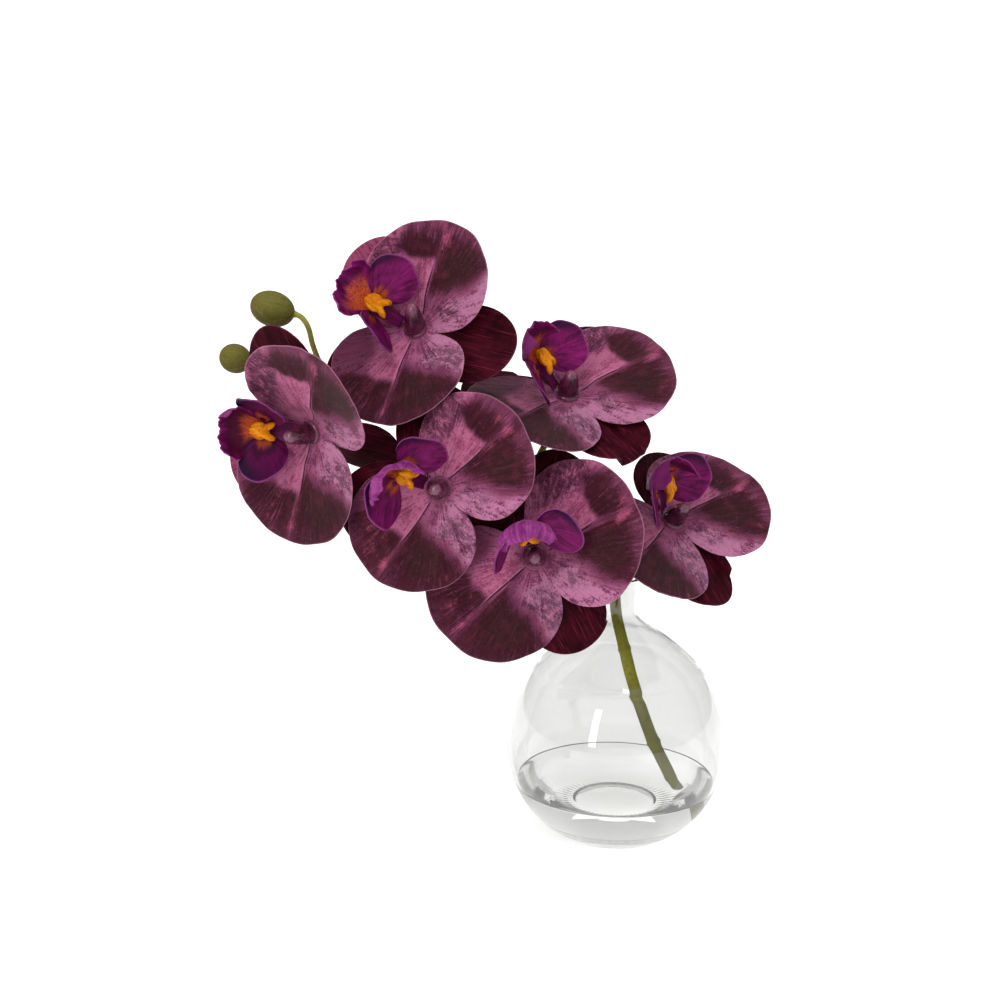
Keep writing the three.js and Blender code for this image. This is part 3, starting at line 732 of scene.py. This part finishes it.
def stem_look():
    """Green, paler and yellower above the vase, and palest in the upper part of the bulb. The paler parts
    are painted light, put where the blooms' shade falls on the stem.
    """
    look = Look("stem_skin")
    x, y, z = look.split(look.place)
    mottle = look.noise(look.place, 520.0, 4, 0.65)
    fibre = look.noise(look.vector(x, y, z * 0.16), 2600.0, 3, 0.6)
    tone = look.noise(look.place, 90.0, 4, 0.6).ramp(0.3, 0.7)
    # Painted light: the stem is painted paler in the upper part of the bulb, where the blooms' shade falls.
    painted_light = z.ramp(58 * MM, 74 * MM) * z.fall(94 * MM, 108 * MM)
    look.base = look.mix(tone, *STEM_LOW)
    look.cover(STEM_PAINTED_LIGHT, painted_light * 0.8)
    # Painted light: above the vase the stem is painted paler and yellower, where the blooms' shade falls.
    look.cover(look.mix(tone, *STEM_HIGH_PAINTED_LIGHT), z.ramp(96 * MM, 122 * MM))
    look.cover(STEM_MOTTLE, mottle.ramp(0.5, 0.75) * 0.5)
    look.cover(STEM_FIBRE, fibre.ramp(0.55, 0.75) * 0.3)
    look.bump(mottle + fibre * 0.5, 0.35, 0.5)
    return look.finish(Roughness=mottle.ramp(0.3, 0.7, 0.42, 0.62), Specular_IOR_Level=0.22)


def bud_look():
    look = Look("bud_skin")
    along, side, up = look.values("local")
    broad = look.noise(look.place, 160.0, 4, 0.6)
    mottle = look.noise(look.place, 900.0, 4, 0.65)
    rib = look.noise(look.vector(along * 1.2, side * 9.0, up * 9.0), 1.0, 4, 0.6)
    # Painted shade and light: the olive is darker underneath and lighter on top, along the bud's up
    # direction.
    look.base = look.mix((up + broad.centred(0.5)).ramp(-0.7, 0.6), *BUD_OLIVE_SHADE_TO_LIGHT)
    look.cover(BUD_MOTTLE, mottle.ramp(0.48, 0.72) * 0.5)
    look.cover(BUD_RIB, rib.ramp(0.5, 0.7) * 0.35)
    look.cover(BUD_TIP, (along + broad.centred(0.4)).fall(-1.0, -0.5) * 0.6)
    look.bump(mottle + rib, 0.3, 0.5)
    return look.finish(Roughness=mottle.ramp(0.3, 0.7, 0.5, 0.68), Specular_IOR_Level=0.16)


def clear_look(name, ior, tint, low_tint, shadow):
    """A clear solid, which lets the lamps' light through without a dark shadow. Its tint is
    weaker low down, where its thick foot would hold back too much light."""
    look = Look(name)
    waves = look.noise(look.place, 38.0, 2, 0.5)
    seeds = look.noise(look.place, 900.0, 2, 0.5)
    height = look.split(look.place)[2]
    look.base = look.mix(height.ramp(2 * MM, 56 * MM), low_tint, tint)
    look.cover(GLASS_WAVE, waves.ramp(0.3, 0.7) * 0.15)
    look.bump(waves, 0.5, 0.04)
    through = look.make("BsdfTransparent", 0, {0: shadow})
    in_shadow = look.make("LightPath", "Is Shadow Ray")
    glass = Field(look, look.shader.outputs[0])
    both = look.make("MixShader", 0, {0: in_shadow, 1: glass, 2: through})
    look.link(both, look.output.inputs["Surface"])
    return look.finish(Roughness=seeds.ramp(0.3, 0.9, 0.0, 0.02), IOR=ior, Transmission_Weight=1.0)


def bulb(heights, inset):
    """The bulb's line at these heights, set in from the outside."""
    below = heights < BULB_CENTRE
    power = np.where(below, BULB_FULLNESS, 2.0)
    depth = np.where(below, BULB_DEPTH, BULB_RISE) - inset
    share = np.clip(np.abs(heights - BULB_CENTRE) / depth, 0, 1)
    return np.stack([(BULB_RADIUS - inset) * (1 - share ** power) ** (1 / power), heights], -1)


def shoulder(inset):
    knots = SHOULDER + [(NECK_RADIUS, 98), (NECK_RADIUS, 102)]
    knots = [(r - inset, z - inset * (r - NECK_RADIUS) / BULB_RADIUS) for r, z in knots]
    return np.array([spline(knots, (k + 1) / SHOULDER_STEPS) for k in range(SHOULDER_STEPS)])


def vase_piece():
    """Glass with a real wall, a thick foot, and a ring of fine ridges under it."""
    top = SHOULDER[0][1]
    outer, inner = NECK_RADIUS, NECK_RADIUS - WALL
    rim = [(outer, VASE_HEIGHT - 1.0), (outer + 0.05, VASE_HEIGHT - 0.5), (outer - 0.15, VASE_HEIGHT - 0.12),
           (outer - WALL / 2, VASE_HEIGHT), (inner + 0.15, VASE_HEIGHT - 0.12), (inner, VASE_HEIGHT - 0.6)]
    neck = np.linspace(NECK_LOW, VASE_HEIGHT - 2, 5)
    profile = np.concatenate([
        UNDERSIDE, bulb(np.append([1.2, 2, 3], np.linspace(4, top, 44)), 0), shoulder(0),
        [(outer, z) for z in neck], rim, [(inner, z) for z in neck[::-1]],
        shoulder(WALL)[::-1], bulb(np.linspace(top, INSIDE_LOW, 44), WALL), INSIDE_FLOOR])
    points, faces = lathe(profile, VASE_SIDES)
    radius = np.hypot(points[:, 0], points[:, 1])
    across = (radius - RIDGE_RING[0]) / (RIDGE_RING[1] - RIDGE_RING[0])
    foot = (points[:, 2] < 3) & (across > 0) & (across < 1)
    ridge = 1 + np.cos(np.arctan2(points[foot, 1], points[foot, 0]) * RIDGES)
    points[foot, 2] += RIDGE_HEIGHT * ridge * np.sin(across[foot] * pi)
    shell = Shell()
    shell.add(points, faces)
    glass = clear_look("clear_glass", 1.5, GLASS_TINT, GLASS_LOW_TINT, GLASS_SHADE)
    keep(shell.piece("vase_glass"), glass, "vase")


def water_piece():
    """The pool, which rises a little where it meets the glass."""
    wall = bulb(np.linspace(INSIDE_LOW, WATER_LEVEL + 0.7, 22), WALL - WATER_INTO_WALL)
    radius = wall[-1][0]
    top = [(radius - 0.2, WATER_LEVEL + 0.5), (radius - 0.7, WATER_LEVEL + 0.26),
           (radius - 1.6, WATER_LEVEL + 0.08), (radius - 3.0, WATER_LEVEL)]
    top += [(r, WATER_LEVEL) for r in np.linspace(radius - 6, 3, 12)] + [(0, WATER_LEVEL)]
    shell = Shell()
    shell.add(*lathe(np.concatenate([WATER_BASE, wall, top]), VASE_SIDES))
    water = clear_look("clear_water", 1.33, WATER_TINT, WATER_TINT, WATER_TINT)
    keep(shell.piece("water_pool"), water, "water")


def bloom_turn(bloom):
    return turn_z(bloom["yaw"]) @ turn_x(90 - bloom["pitch"]) @ turn_z(bloom["roll"])


def spike_radius(section):
    """The spike's radius in a section between two joints, counted from its foot."""
    return SPIKE_RADIUS_LOW + (SPIKE_RADIUS_HIGH - SPIKE_RADIUS_LOW) * np.maximum(0, section - 1) / 5


def stem_piece():
    """The spike with its joints, the flower stalks and the bud stalks, melted into one skin."""
    shell = Shell()
    shares = np.linspace(0, 1, SPIKE_STEPS)
    line = [curve(SPIKE_ROUTE, share) for share in shares]
    radii = spike_radius(np.searchsorted([0.0] + JOINTS, shares, side="right") - 1)
    radii = np.convolve(np.pad(radii, 6, mode="edge"), np.ones(13) / 13, mode="valid")
    for joint in JOINTS:
        radii += 0.1 * spot(shares, joint, 0.004)
    radii += 0.02 * np.sin(shares * 96) + 0.02 * np.sin(shares * 41 + 1) - 0.12
    tube(shell, line, radii, SPIKE_SIDES, ends=(0.6, 1))
    for section, joint in enumerate(JOINTS, 1):
        ahead = np.linspace(JOINT_AHEAD[0], JOINT_AHEAD[-1], 18)
        direction = unit(curve(SPIKE_ROUTE, joint + 0.004) - curve(SPIKE_ROUTE, joint - 0.004))
        radii = spike_radius(section) + np.interp(ahead, JOINT_AHEAD, JOINT_SWELL)
        line = curve(SPIKE_ROUTE, joint) + ahead[:, None] * direction
        tube(shell, line, radii, SPIKE_SIDES, ends=(0.1, 0.1))
    shares = np.linspace(0, 1, 40)
    radii = PEDICEL_RADIUS + 0.7 * smooth(shares, 0.75, 1.0) + 0.5 * fade(shares, 0.0, 0.12)
    for bloom, root_share in zip(BLOOMS, PEDICEL_ROOTS):
        turn = bloom_turn(bloom)
        back = np.array([0, 0, -SHEET * 1.5 - SHEET_GAP - 0.3])
        root = curve(SPIKE_ROUTE, root_share)
        end = turn @ back + bloom["at"]
        behind = turn @ (back + [0, 0, -9]) + bloom["at"]
        middle = root + (behind - root) * 0.55 + [0, 0, 1.5]
        tube(shell, [curve([root, middle, behind, end], share) for share in shares], radii, STALK_SIDES)
    shares = np.linspace(0, 1, 50)
    radii = BUD_STALK_RADIUS + 0.6 * smooth(shares, 0.8, 0.98)
    for bud in BUDS:
        tip = np.array(bud["stalk"][-1])
        end = tip + STALK_INTO_BUD * unit(bud["centre"] - tip)
        tube(shell, [curve(bud["stalk"] + [tuple(end)], share) for share in shares], radii, STALK_SIDES)
    keep(melt(shell.piece("spike"), 0.44, 2), stem_look(), "stem")


def bud_piece(bud, look):
    """A closed bud: three folded leaves that meet in a blunt tip, with a faint rib down each."""
    def shape(points):
        along = points[:, 0]
        around = np.arctan2(points[:, 2], points[:, 1])
        belt = np.clip(1 - along ** 2, 0, 1)
        seam = 0.028 * spot(np.mod(around + 0.5, 2 * pi / 3), pi / 3, 0.16) * belt
        rib = 0.014 * np.cos(around * 6 + 1) * belt
        return 1 + 0.05 * along - 0.05 * along ** 2 - seam + rib
    shell = Shell()
    ball(shell, bud["radii"], bud["centre"], turn_y(bud["tilt"]), sides=96, rings=72, shape=shape)
    keep(shell.piece(f"{bud['name']}_skin"), look, bud["name"])


def fan_angles(fan, columns, side):
    """Angles over a fan, closer together towards its ends, and turned round where side is -1."""
    return radians(fan) * np.sin(pi / 2 * np.linspace(-1, 1, columns))[::side]


def fan_radius(angle, taper, roundness):
    return np.maximum(np.cos(taper * angle), 0) ** roundness


def fold_share(distance):
    return np.clip((distance - SHEET_START) / (FOLD_END - SHEET_START), 0, 1)


def petal_place(a, b, side, bloom, relief):
    """Points of a petal, a out along its midrib and b across it, folded, twisted and curled."""
    fold, twist = bloom["left"] if side < 0 else bloom["right"]
    points = np.stack([a, b, -bloom["curl"] * b * b / bloom["reach"] + relief], -1)
    points = points @ (turn_z(90 - bloom["swing"]) @ turn_y(-fold) @ turn_x(twist)).T
    points[..., 2] *= fold_share(np.hypot(a, b))
    points[..., 0] *= side
    return points


def petal_above(x, y, side, bloom):
    """How high a petal lies over the points x, y of the bloom's plane."""
    fold, twist = bloom["left"] if side < 0 else bloom["right"]
    f, t, w = (radians(v) for v in (fold, twist, bloom["swing"]))
    along = side * x * sin(w) + y * cos(w)
    across = -side * x * cos(w) + y * sin(w)
    a, b = along, across
    for _ in range(4):
        height = -bloom["curl"] * b * b / bloom["reach"]
        b = (across + height * sin(t)) / cos(t)
        lifted = b * sin(t) + height * cos(t)
        a = (along + lifted * sin(f)) / cos(f)
    lifted = b * sin(t) + height * cos(t)
    return (a * sin(f) + lifted * cos(f)) * fold_share(np.hypot(a, b))


def hub(shell, height):
    """The round disc that joins the leaves of a pair or a trio."""
    profile = [(0, height - 0.4), (HUB_RADIUS - 0.5, height - 0.4), (HUB_RADIUS - 0.12, height - 0.28),
               (HUB_RADIUS, height), (HUB_RADIUS - 0.12, height + 0.3), (HUB_RADIUS - 0.6, height + 0.43),
               (0, height + 0.45)]
    points, faces = lathe(profile, HUB_SIDES)
    out = np.hypot(points[:, 0], points[:, 1]) / 46
    turn = np.arctan2(points[:, 1], points[:, 0])
    zero = np.zeros(len(points))
    shell.add(points, faces, place=np.stack([out, zero, zero + 3], -1),
              fan=np.stack([turn, out, zero], -1), front=zero + 1)


def petal_paint(u, v, side, slip):
    """Where the print on a petal is dark, pale and pink, and where it is olive, blotted and bright
    at the tip. u runs out along the midrib and v across it, above 0 towards the top sepal, and
    slip moves the print on the cloth. Each patch gives its strength, its middle and its width, or
    the places where it starts and ends."""
    u = u + slip + 0.014 * np.sin(v * 17 + side) + 0.008 * np.sin(v * 41)
    v = v + 0.01 * np.sin(u * 15 + side) * smooth(np.abs(v), 0.02, 0.1)
    reach = np.hypot(u, v)
    above, below = smooth(v, -0.004, 0.03), fade(v, -0.03, 0.004)
    if side < 0:
        border = 0.25 + 0.45 * v + 0.8 * np.maximum(v - 0.42, 0)
        upper = above * smooth(u - border, -0.13, 0.17)
        upper = upper * (1 - 0.3 * smooth(reach, 0.78, 0.95) * band(v, 0.1, 0.5, 0.08))
        lower = below * smooth(u, 0.56, 0.66) * smooth(v, -0.52, -0.32)
        lower = lower * (1 - 0.35 * smooth(reach, 0.82, 0.98))
        wedge = most(below * fade(u, 0.56, 0.66) * smooth(u, 0.05, 0.18) * smooth(v, -0.42, -0.22),
                     0.6 * smooth(-v, 0.32, 0.44) * smooth(reach, 0.3, 0.45))
        pale = 0.8 * smooth(v, 0.1, 0.26) * fade(u - border, -0.16, 0.02)
        speck = most(band(u, 0.22, 0.76, 0.08) * band(v, -0.62, -0.32, 0.06),
                     0.8 * band(u, 0.14, 0.33, 0.05) * band(v, 0.12, 0.42, 0.07))
        tip = most(0.85 * spot(u, 0.86, 0.13) * spot(v, 0.04, 0.045),
                   0.5 * spot(u, 0.92, 0.1) * spot(v, -0.06, 0.1),
                   0.45 * band(u, 0.5, 1.0, 0.08) * spot(v, 0.03, 0.03),
                   0.25 * spot(reach, 0.92, 0.12) * band(v, 0.05, 0.5, 0.1))
    else:
        border = 0.35 + 0.13 * v
        upper = above * smooth(u - border, -0.11, 0.15)
        lower = most(0.95 * below * smooth(u, 0.48, 0.6) * smooth(v, -0.7, -0.44),
                     0.5 * smooth(-v, 0.22, 0.36) * smooth(reach, 0.3, 0.45))
        wedge = below * fade(u, 0.48, 0.6) * smooth(u, 0.06, 0.2) * smooth(v, -0.36, -0.16)
        pale = 0.95 * smooth(v, 0.08, 0.24) * fade(u - border, -0.1, 0.03)
        speck = 0.9 * band(u, 0.12, 0.38, 0.05) * band(v, 0.18, 0.62, 0.07)
        tip = most(0.85 * spot(u, 0.86, 0.08) * spot(v, -0.012, 0.032),
                   0.5 * band(u, 0.66, 1.0, 0.07) * spot(v, -0.02, 0.04),
                   0.4 * band(u, 0.25, 0.7, 0.08) * spot(v, -0.018, 0.02),
                   0.3 * spot(u, 0.68, 0.16) * spot(v, 0.5, 0.06),
                   0.3 * band(u, 0.5, 0.9, 0.08) * band(v, -0.42, -0.12, 0.08))
    olive = spot(u, 0.6, 0.22) * spot(v, 0.26, 0.2)
    dark = most(upper, lower) * (1 - 0.22 * smooth(reach, 0.7, 0.98) * (1 - olive))
    return dict(paint=(dark, pale, wedge), paint_more=(olive, speck, tip))


def fill_petals(shell, bloom, number):
    """The two broad petals, with soft waves, fine pleats and a wandering crease down each."""
    random = np.random.default_rng(100 + number)
    rows, columns = PETAL_GRID
    reach = bloom["reach"]
    for side in (-1, 1):
        angle = fan_angles(PETAL_FAN, columns, side)
        waves = random.uniform(0, 2 * pi, 4)
        edge = reach * fan_radius(angle, PETAL_TAPER, PETAL_ROUNDNESS)
        edge = edge * (1 + 0.006 * np.sin(9 * angle + waves[0]) + 0.004 * np.sin(17 * angle + waves[1]))
        out = (np.linspace(0, 1, rows) ** 0.85)[:, None]
        radius = LEAF_START + out * (edge - LEAF_START)
        a, b = radius * np.cos(angle), radius * np.sin(angle)
        u, v = a / reach, b / reach
        seed = number * 1.7 + side * 0.4
        crease = CREASE_WANDER * reach * np.sin(u * CREASE_WAVES + seed)
        relief = 0.09 * np.sin(angle * 44 + waves[3]) * smooth(out, 0.25, 0.9)
        relief = relief + smooth(out, 0.45, 1.0) * (
            0.7 * np.sin(3 * angle + waves[0]) + 0.35 * np.sin(7 * angle + waves[1]))
        relief = relief - 0.7 * spot(b, crease, 0.8) * smooth(u, 0.1, 0.2) * fade(u, 0.5, 0.66)
        relief = relief + 0.4 * spot(b, crease, 2.2) * smooth(u, 0.1, 0.3)
        paint = petal_paint(u, v, side, random.uniform(-0.035, 0.035))
        sheet(shell, petal_place(a, b, side, bloom, relief), PETAL_SHOWN, place=(u, v, seed),
              fan=(angle, radius / reach, 0), rim=radius / edge, **paint)
    hub(shell, 0)


def fill_sepals(shell, bloom, number):
    """The three sepals, which bend back by themselves and stay under the petals."""
    random = np.random.default_rng(200 + number)
    rows, columns = SEPAL_GRID
    step = SHEET + SHEET_GAP
    for k, (direction, reflex, size) in enumerate(bloom["sepals"]):
        middle = pi / 2 + radians(direction)
        angle = radians(SEPAL_FAN) * np.linspace(-1, 1, columns)
        waves = random.uniform(0, 2 * pi, 4)
        edge = size * SEPAL_LENGTH * fan_radius(angle, SEPAL_TAPER, SEPAL_ROUNDNESS)
        edge = edge * (1 + 0.006 * np.sin(9 * angle + waves[0]))
        out = (np.linspace(0, 1, rows) ** 0.9)[:, None]
        radius = LEAF_START + out * (edge - LEAF_START)
        a, b = radius * np.cos(angle), radius * np.sin(angle)
        x = a * cos(middle) - b * sin(middle)
        y = a * sin(middle) + b * cos(middle)
        distance = np.hypot(x, y)
        own = -step - tan(radians(reflex)) * np.maximum(distance - SHEET_START, 0)
        left, right = petal_above(x, y, -1, bloom), petal_above(x, y, 1, bloom)
        near = np.where(x < -6, left, np.where(x > 6, right, np.minimum(left, right)))
        z = np.minimum(own, near - step - SEPAL_CLEARANCE * fold_share(distance))
        u, v = a / SEPAL_LENGTH, b / SEPAL_LENGTH
        z = z - 0.3 * spot(b, 0, 0.6) * smooth(u, 0.12, 0.3) * fade(u, 0.7, 0.9)
        z = z - 0.07 * (1 + np.sin(b * 5 + waves[1])) * smooth(out, 0.2, 0.8)
        sheet(shell, np.stack([x, y, z], -1), PETAL_SHOWN, place=(u, v, 20 + number * 1.3 + k * 5),
              fan=(angle, radius / SEPAL_LENGTH, bloom["blush"][k]), rim=radius / edge)
    hub(shell, -step)


def lip_turn(bloom):
    """How a bloom's lip is turned, and where it hangs."""
    turn = turn_z(bloom["turn"])
    whole = bloom_turn(bloom)
    return whole @ turn @ turn_x(-bloom["rise"]), whole @ turn @ LIP_PIVOT + bloom["at"]


def scoop_place(stations, across, shape, lift_more):
    """The lip's scoop from its stations, widened, unrolled, curled up and leaned as shape says."""
    widen, unroll, curl, lean = shape
    out, half, roll, height = (stations[:, k:k + 1] for k in range(4))
    grown = np.clip((out - END_WIDENS[0]) / (END_WIDENS[1] - END_WIDENS[0]), 0, 1)
    rolled = np.radians(roll) * (1 + (unroll - 1) * grown)
    radius = half * (1 + (widen - 1) * grown) / rolled
    tilt = radians(lean) * grown
    turn = across * rolled + tilt
    lift = radius * (np.cos(tilt) - np.cos(turn)) + lift_more
    bend_radius = CURL_LENGTH / radians(curl)
    bend = np.maximum(out - CURL_START, 0) / bend_radius
    reach = np.minimum(out, CURL_START) + bend_radius * np.sin(bend)
    rise = height + bend_radius * (1 - np.cos(bend))
    return np.stack([radius * (np.sin(turn) - np.sin(tilt)), lift * np.sin(bend) - reach,
                     rise + lift * np.cos(bend)], -1)


def fill_lip(shell, bloom, number):
    """The middle lobe, a scoop with a crumpled rim, and the two side lobes that stand beside it."""
    random = np.random.default_rng(300 + number)
    glow, shade, dusk = bloom["tones"]
    rows, columns = SCOOP_GRID
    across = np.linspace(-1, 1, columns)
    along = np.linspace(0, 1, rows)[:, None]
    waves = random.uniform(0, 2 * pi, 6)
    side = np.abs(across)
    frill = smooth(along, 0.55, 1.0)
    ragged = frill * (0.55 * np.sin(across * 6 + waves[0]) + 0.4 * np.sin(across * 13 + waves[1])
                      + 0.2 * np.sin(across * 31 + waves[2]))
    lift = smooth(side, 0.55, 1.0) * smooth(along, 0.45, 0.7) * (
        0.7 * np.sin(along * 23 + waves[3]) + 0.35 * np.sin(along * 47 + across * 5 + waves[4]))
    lift = lift + 0.5 * frill * np.sin(across * 8 + along * 9 + waves[5])
    lift = lift - 0.25 * spot(across, 0, 0.06) * smooth(along, 0.35, 0.6)
    stations = np.array([spline(SCOOP, share) for share in along[:, 0]])
    points = scoop_place(stations, across, bloom["scoop"], lift)
    points[..., 1] -= ragged
    warm = smooth(along, 0.28, 0.42) * fade(along + 0.12 * side, 0.5, 0.82 + 0.3 * glow)
    warm = warm * fade(side, 0.35 + 0.2 * glow, 0.95)
    deep = smooth(along, 0.4, 0.56) * fade(along, 0.78, 1.0) * (1 - 0.6 * smooth(side, 0.6, 1.0))
    ink = 0.6 * fade(along, 0.2, 0.42)
    night = 0.5 * smooth(along, 0.62, 0.8) * fade(along, 0.84, 0.98)
    sheet(shell, points, LIP_SHOWN, place=(across, along, 40 + number * 2.1), paint=(warm, ink, night),
          rim=most(side * smooth(along, 0.2, 0.5), smooth(along, 0.9, 1.0)),
          depth=(deep * (1 - glow), shade, 0))
    rows, columns = LOBE_GRID
    for side, (stand, sweep, twist) in zip((-1, 1), bloom["lobes"]):
        angle = fan_angles(LOBE_FAN, columns, side)
        waves = random.uniform(0, 2 * pi, 5)
        edge = LOBE_LENGTH * fan_radius(angle, LOBE_TAPER, LOBE_ROUNDNESS)
        edge = edge * (1 + 0.02 * np.sin(5 * angle + waves[3]) + 0.012 * np.sin(11 * angle + waves[4]))
        out = np.linspace(0.12, 1, rows)[:, None]
        radius = out * edge
        lift = LOBE_CUP * radius ** 2 * np.cos(angle) + smooth(out, 0.45, 1.0) * (
            0.7 * np.sin(3.5 * angle + waves[0]) + 0.3 * np.sin(9 * angle + waves[1]))
        lift = lift + 0.09 * np.sin(angle * 26 + waves[2]) * smooth(out, 0.2, 0.7)
        leaf = np.stack([radius * np.cos(angle), radius * np.sin(angle), lift], -1)
        leaf = leaf @ (turn_z(sweep) @ turn_y(-stand) @ turn_x(twist)).T + LOBE_ROOT
        leaf[..., 0] *= side
        warm = 0.75 * fade(out, 0.14, 0.5)
        ink = fade(out, 0.1, 0.62 + 0.4 * dusk)
        night = smooth(out, 0.55 - 0.3 * dusk, 0.98) * smooth(-angle, -0.5 - dusk, 0.7)
        sheet(shell, leaf, LIP_SHOWN, place=(angle * 1.3, out, 60 + number * 2.1 + side),
              paint=(warm, ink, night), rim=out, depth=(0, shade, dusk))


def fill_callus(shell, bloom, number):
    """A lumpy callus with two horns, melted from six balls."""
    ball(shell, (2.3, 4, 1.6), (0, -16.4, 2.9), np.eye(3))
    ball(shell, (3.8, 4.1, 1.4), (0, -16.2, 4.3), np.eye(3))
    for side in (-1, 1):
        turn = turn_x(degrees(-0.3)) @ turn_z(degrees(-0.45 * side))
        ball(shell, (1.4, 3.3, 1.4), (2.1 * side, -12.6, 4.9), turn)
        ball(shell, (1.0, 3.4, 0.7), (1.3 * side, -17.0, 5.4), turn_z(-12 * side))


def fill_column(shell, bloom, number):
    """The column on its foot ring, a little lobed, with a hollow under its tip."""
    profile = [spline(COLUMN, k / COLUMN_STEPS) for k in range(COLUMN_STEPS + 1)]
    profile[0], profile[-1] = COLUMN[0], COLUMN[-1]
    points, faces = lathe(profile, HUB_SIDES)
    height = points[:, 2].copy()
    turn = np.arctan2(points[:, 1], points[:, 0])
    body = smooth(height, 2.2, 4) * fade(height, 10, 12.6)
    scale = 1 + body * (0.05 * np.cos(2 * turn) + 0.04 * np.cos(3 * turn + 0.5))
    scale = scale - 0.18 * spot(height, 10.6, 1.1) * smooth(-np.sin(turn), 0.5, 1.0)
    lean = np.outer(np.maximum(height - COLUMN_NECK, 0), bloom["lean"])
    points[:, :2] = points[:, :2] * scale[:, None] + lean
    shell.add(points, faces, rise=height / COLUMN[-1][1])


def bloom_pieces(bloom, number, looks):
    """The pieces of one bloom. The callus is on the lip, and turns with it."""
    whole = bloom_turn(bloom), bloom["at"]
    parts = [(fill_petals, "petal_pair", "petal", "petals", whole),
             (fill_sepals, "sepal_trio", "sepal", "sepals", whole),
             (fill_lip, "lip_sheet", "lip", "lip", lip_turn(bloom)),
             (fill_callus, "callus_paint", "callus", "callus", lip_turn(bloom)),
             (fill_column, "column_gloss", "column", "column", whole)]
    for look, (fill, name, slot, node, place) in zip(looks, parts):
        shell = Shell()
        fill(shell, bloom, number)
        piece = shell.piece(f"bloom_{number}_{name}", *place)
        if slot == "callus":
            melt(piece, 0.24, 4)
        keep(piece, look, f"bloom_{number}_{node}")


def stand(name, data, right, up, back, place):
    """Puts a camera or a lamp in the scene, by its own three axes and its place in metres."""
    thing = bpy.data.objects.new(name, data)
    thing.matrix_world = Matrix([*zip(right, up, back, place), (0, 0, 0, 1)])
    bpy.context.scene.collection.objects.link(thing)
    return thing


def camera():
    lens = bpy.data.cameras.new("camera")
    lens.lens = LENS
    lens.sensor_width = SENSOR
    lens.clip_start = 0.05
    lens.clip_end = 100
    rise, roll = radians(CAMERA_RISE), radians(CAMERA_ROLL)
    back = np.array([0, -cos(rise), sin(rise)])
    level, upright = np.array([1.0, 0, 0]), np.array([0, sin(rise), cos(rise)])
    right = cos(roll) * level + sin(roll) * upright
    up = -sin(roll) * level + cos(roll) * upright
    place = (np.array(CAMERA_TARGET) + CAMERA_DISTANCE * back) * MM
    bpy.context.scene.camera = stand("camera", lens, right, up, back, place)


def lamp(name, kind, at, towards, power, **settings):
    """A lamp, with its place and its target in metres. The glass doesn't show it."""
    light = bpy.data.lights.new(name, kind)
    light.energy = power
    for key, value in settings.items():
        setattr(light, key, value)
    back = unit(np.subtract(at, towards))
    side = unit(np.cross((0, 0, 1), back))
    thing = stand(name, light, side, np.cross(back, side), back, at)
    thing.visible_transmission = False
    return thing


def studio():
    """A white paper floor that glows a little, a sky that is brightest overhead, and the lamps."""
    shell = Shell()
    corners = [(-1, -1, 0), (1, -1, 0), (1, 1, 0), (-1, 1, 0)]
    shell.add(FLOOR_HALF * np.array(corners), [(0, 1, 2, 3)])
    floor = shell.piece("studio_floor")
    look = Look("floor_paper")
    look.base = look.mix(look.noise(look.place, 60.0, 3, 0.6), *PAPER)
    floor.data.materials.append(look.finish(
        Roughness=0.9, Specular_IOR_Level=0.1, Emission_Color=WHITE, Emission_Strength=FLOOR_GLOW))
    scene = bpy.context.scene
    scene.world = bpy.data.worlds.new("studio")
    scene.world.use_nodes = True
    sky = Nodes(scene.world.node_tree)
    height = sky.split(sky.make("TexCoord", "Generated"))[2]
    light = sky.make("MapRange", 0, {"Value": height, "To Min": SKY_LOW, "To Max": SKY_HIGH})
    background = sky.tree.nodes["Background"]
    sky.link(WHITE, background.inputs["Color"])
    sky.link(light, background.inputs["Strength"])
    scene.cycles.max_bounces = LIGHT_BOUNCES
    scene.cycles.transmission_bounces = LIGHT_BOUNCES
    wide = lamp("wide_light", "SUN", at=(-0.3, -0.6, 1.0), towards=(0, 0, 0), power=SUN_STRENGTH,
                angle=radians(SUN_WIDTH))
    wide.visible_glossy = False
    lamp("tall_softbox", "AREA", at=(-0.62, -1.17, 0.68), towards=(-0.02, -0.04, 0.3), power=5.5,
         shape="RECTANGLE", size=0.2, size_y=1.0)
    lamp("strip_softbox", "AREA", at=(-0.02, -0.38, 1.2), towards=(0, -0.03, 0.08), power=1.0,
         shape="RECTANGLE", size=0.42, size_y=0.08)
    scene.view_settings.view_transform = "Standard"
    scene.view_settings.look = "None"


camera()
vase_piece()
water_piece()
stem_piece()
BUD_SKIN = bud_look()
for one in BUDS:
    bud_piece(one, BUD_SKIN)
LOOKS = [petal_look(), sepal_look(), lip_look(), callus_look(), column_look()]
for index, one in enumerate(BLOOMS, 1):
    bloom_pieces(one, index, LOOKS)
studio()
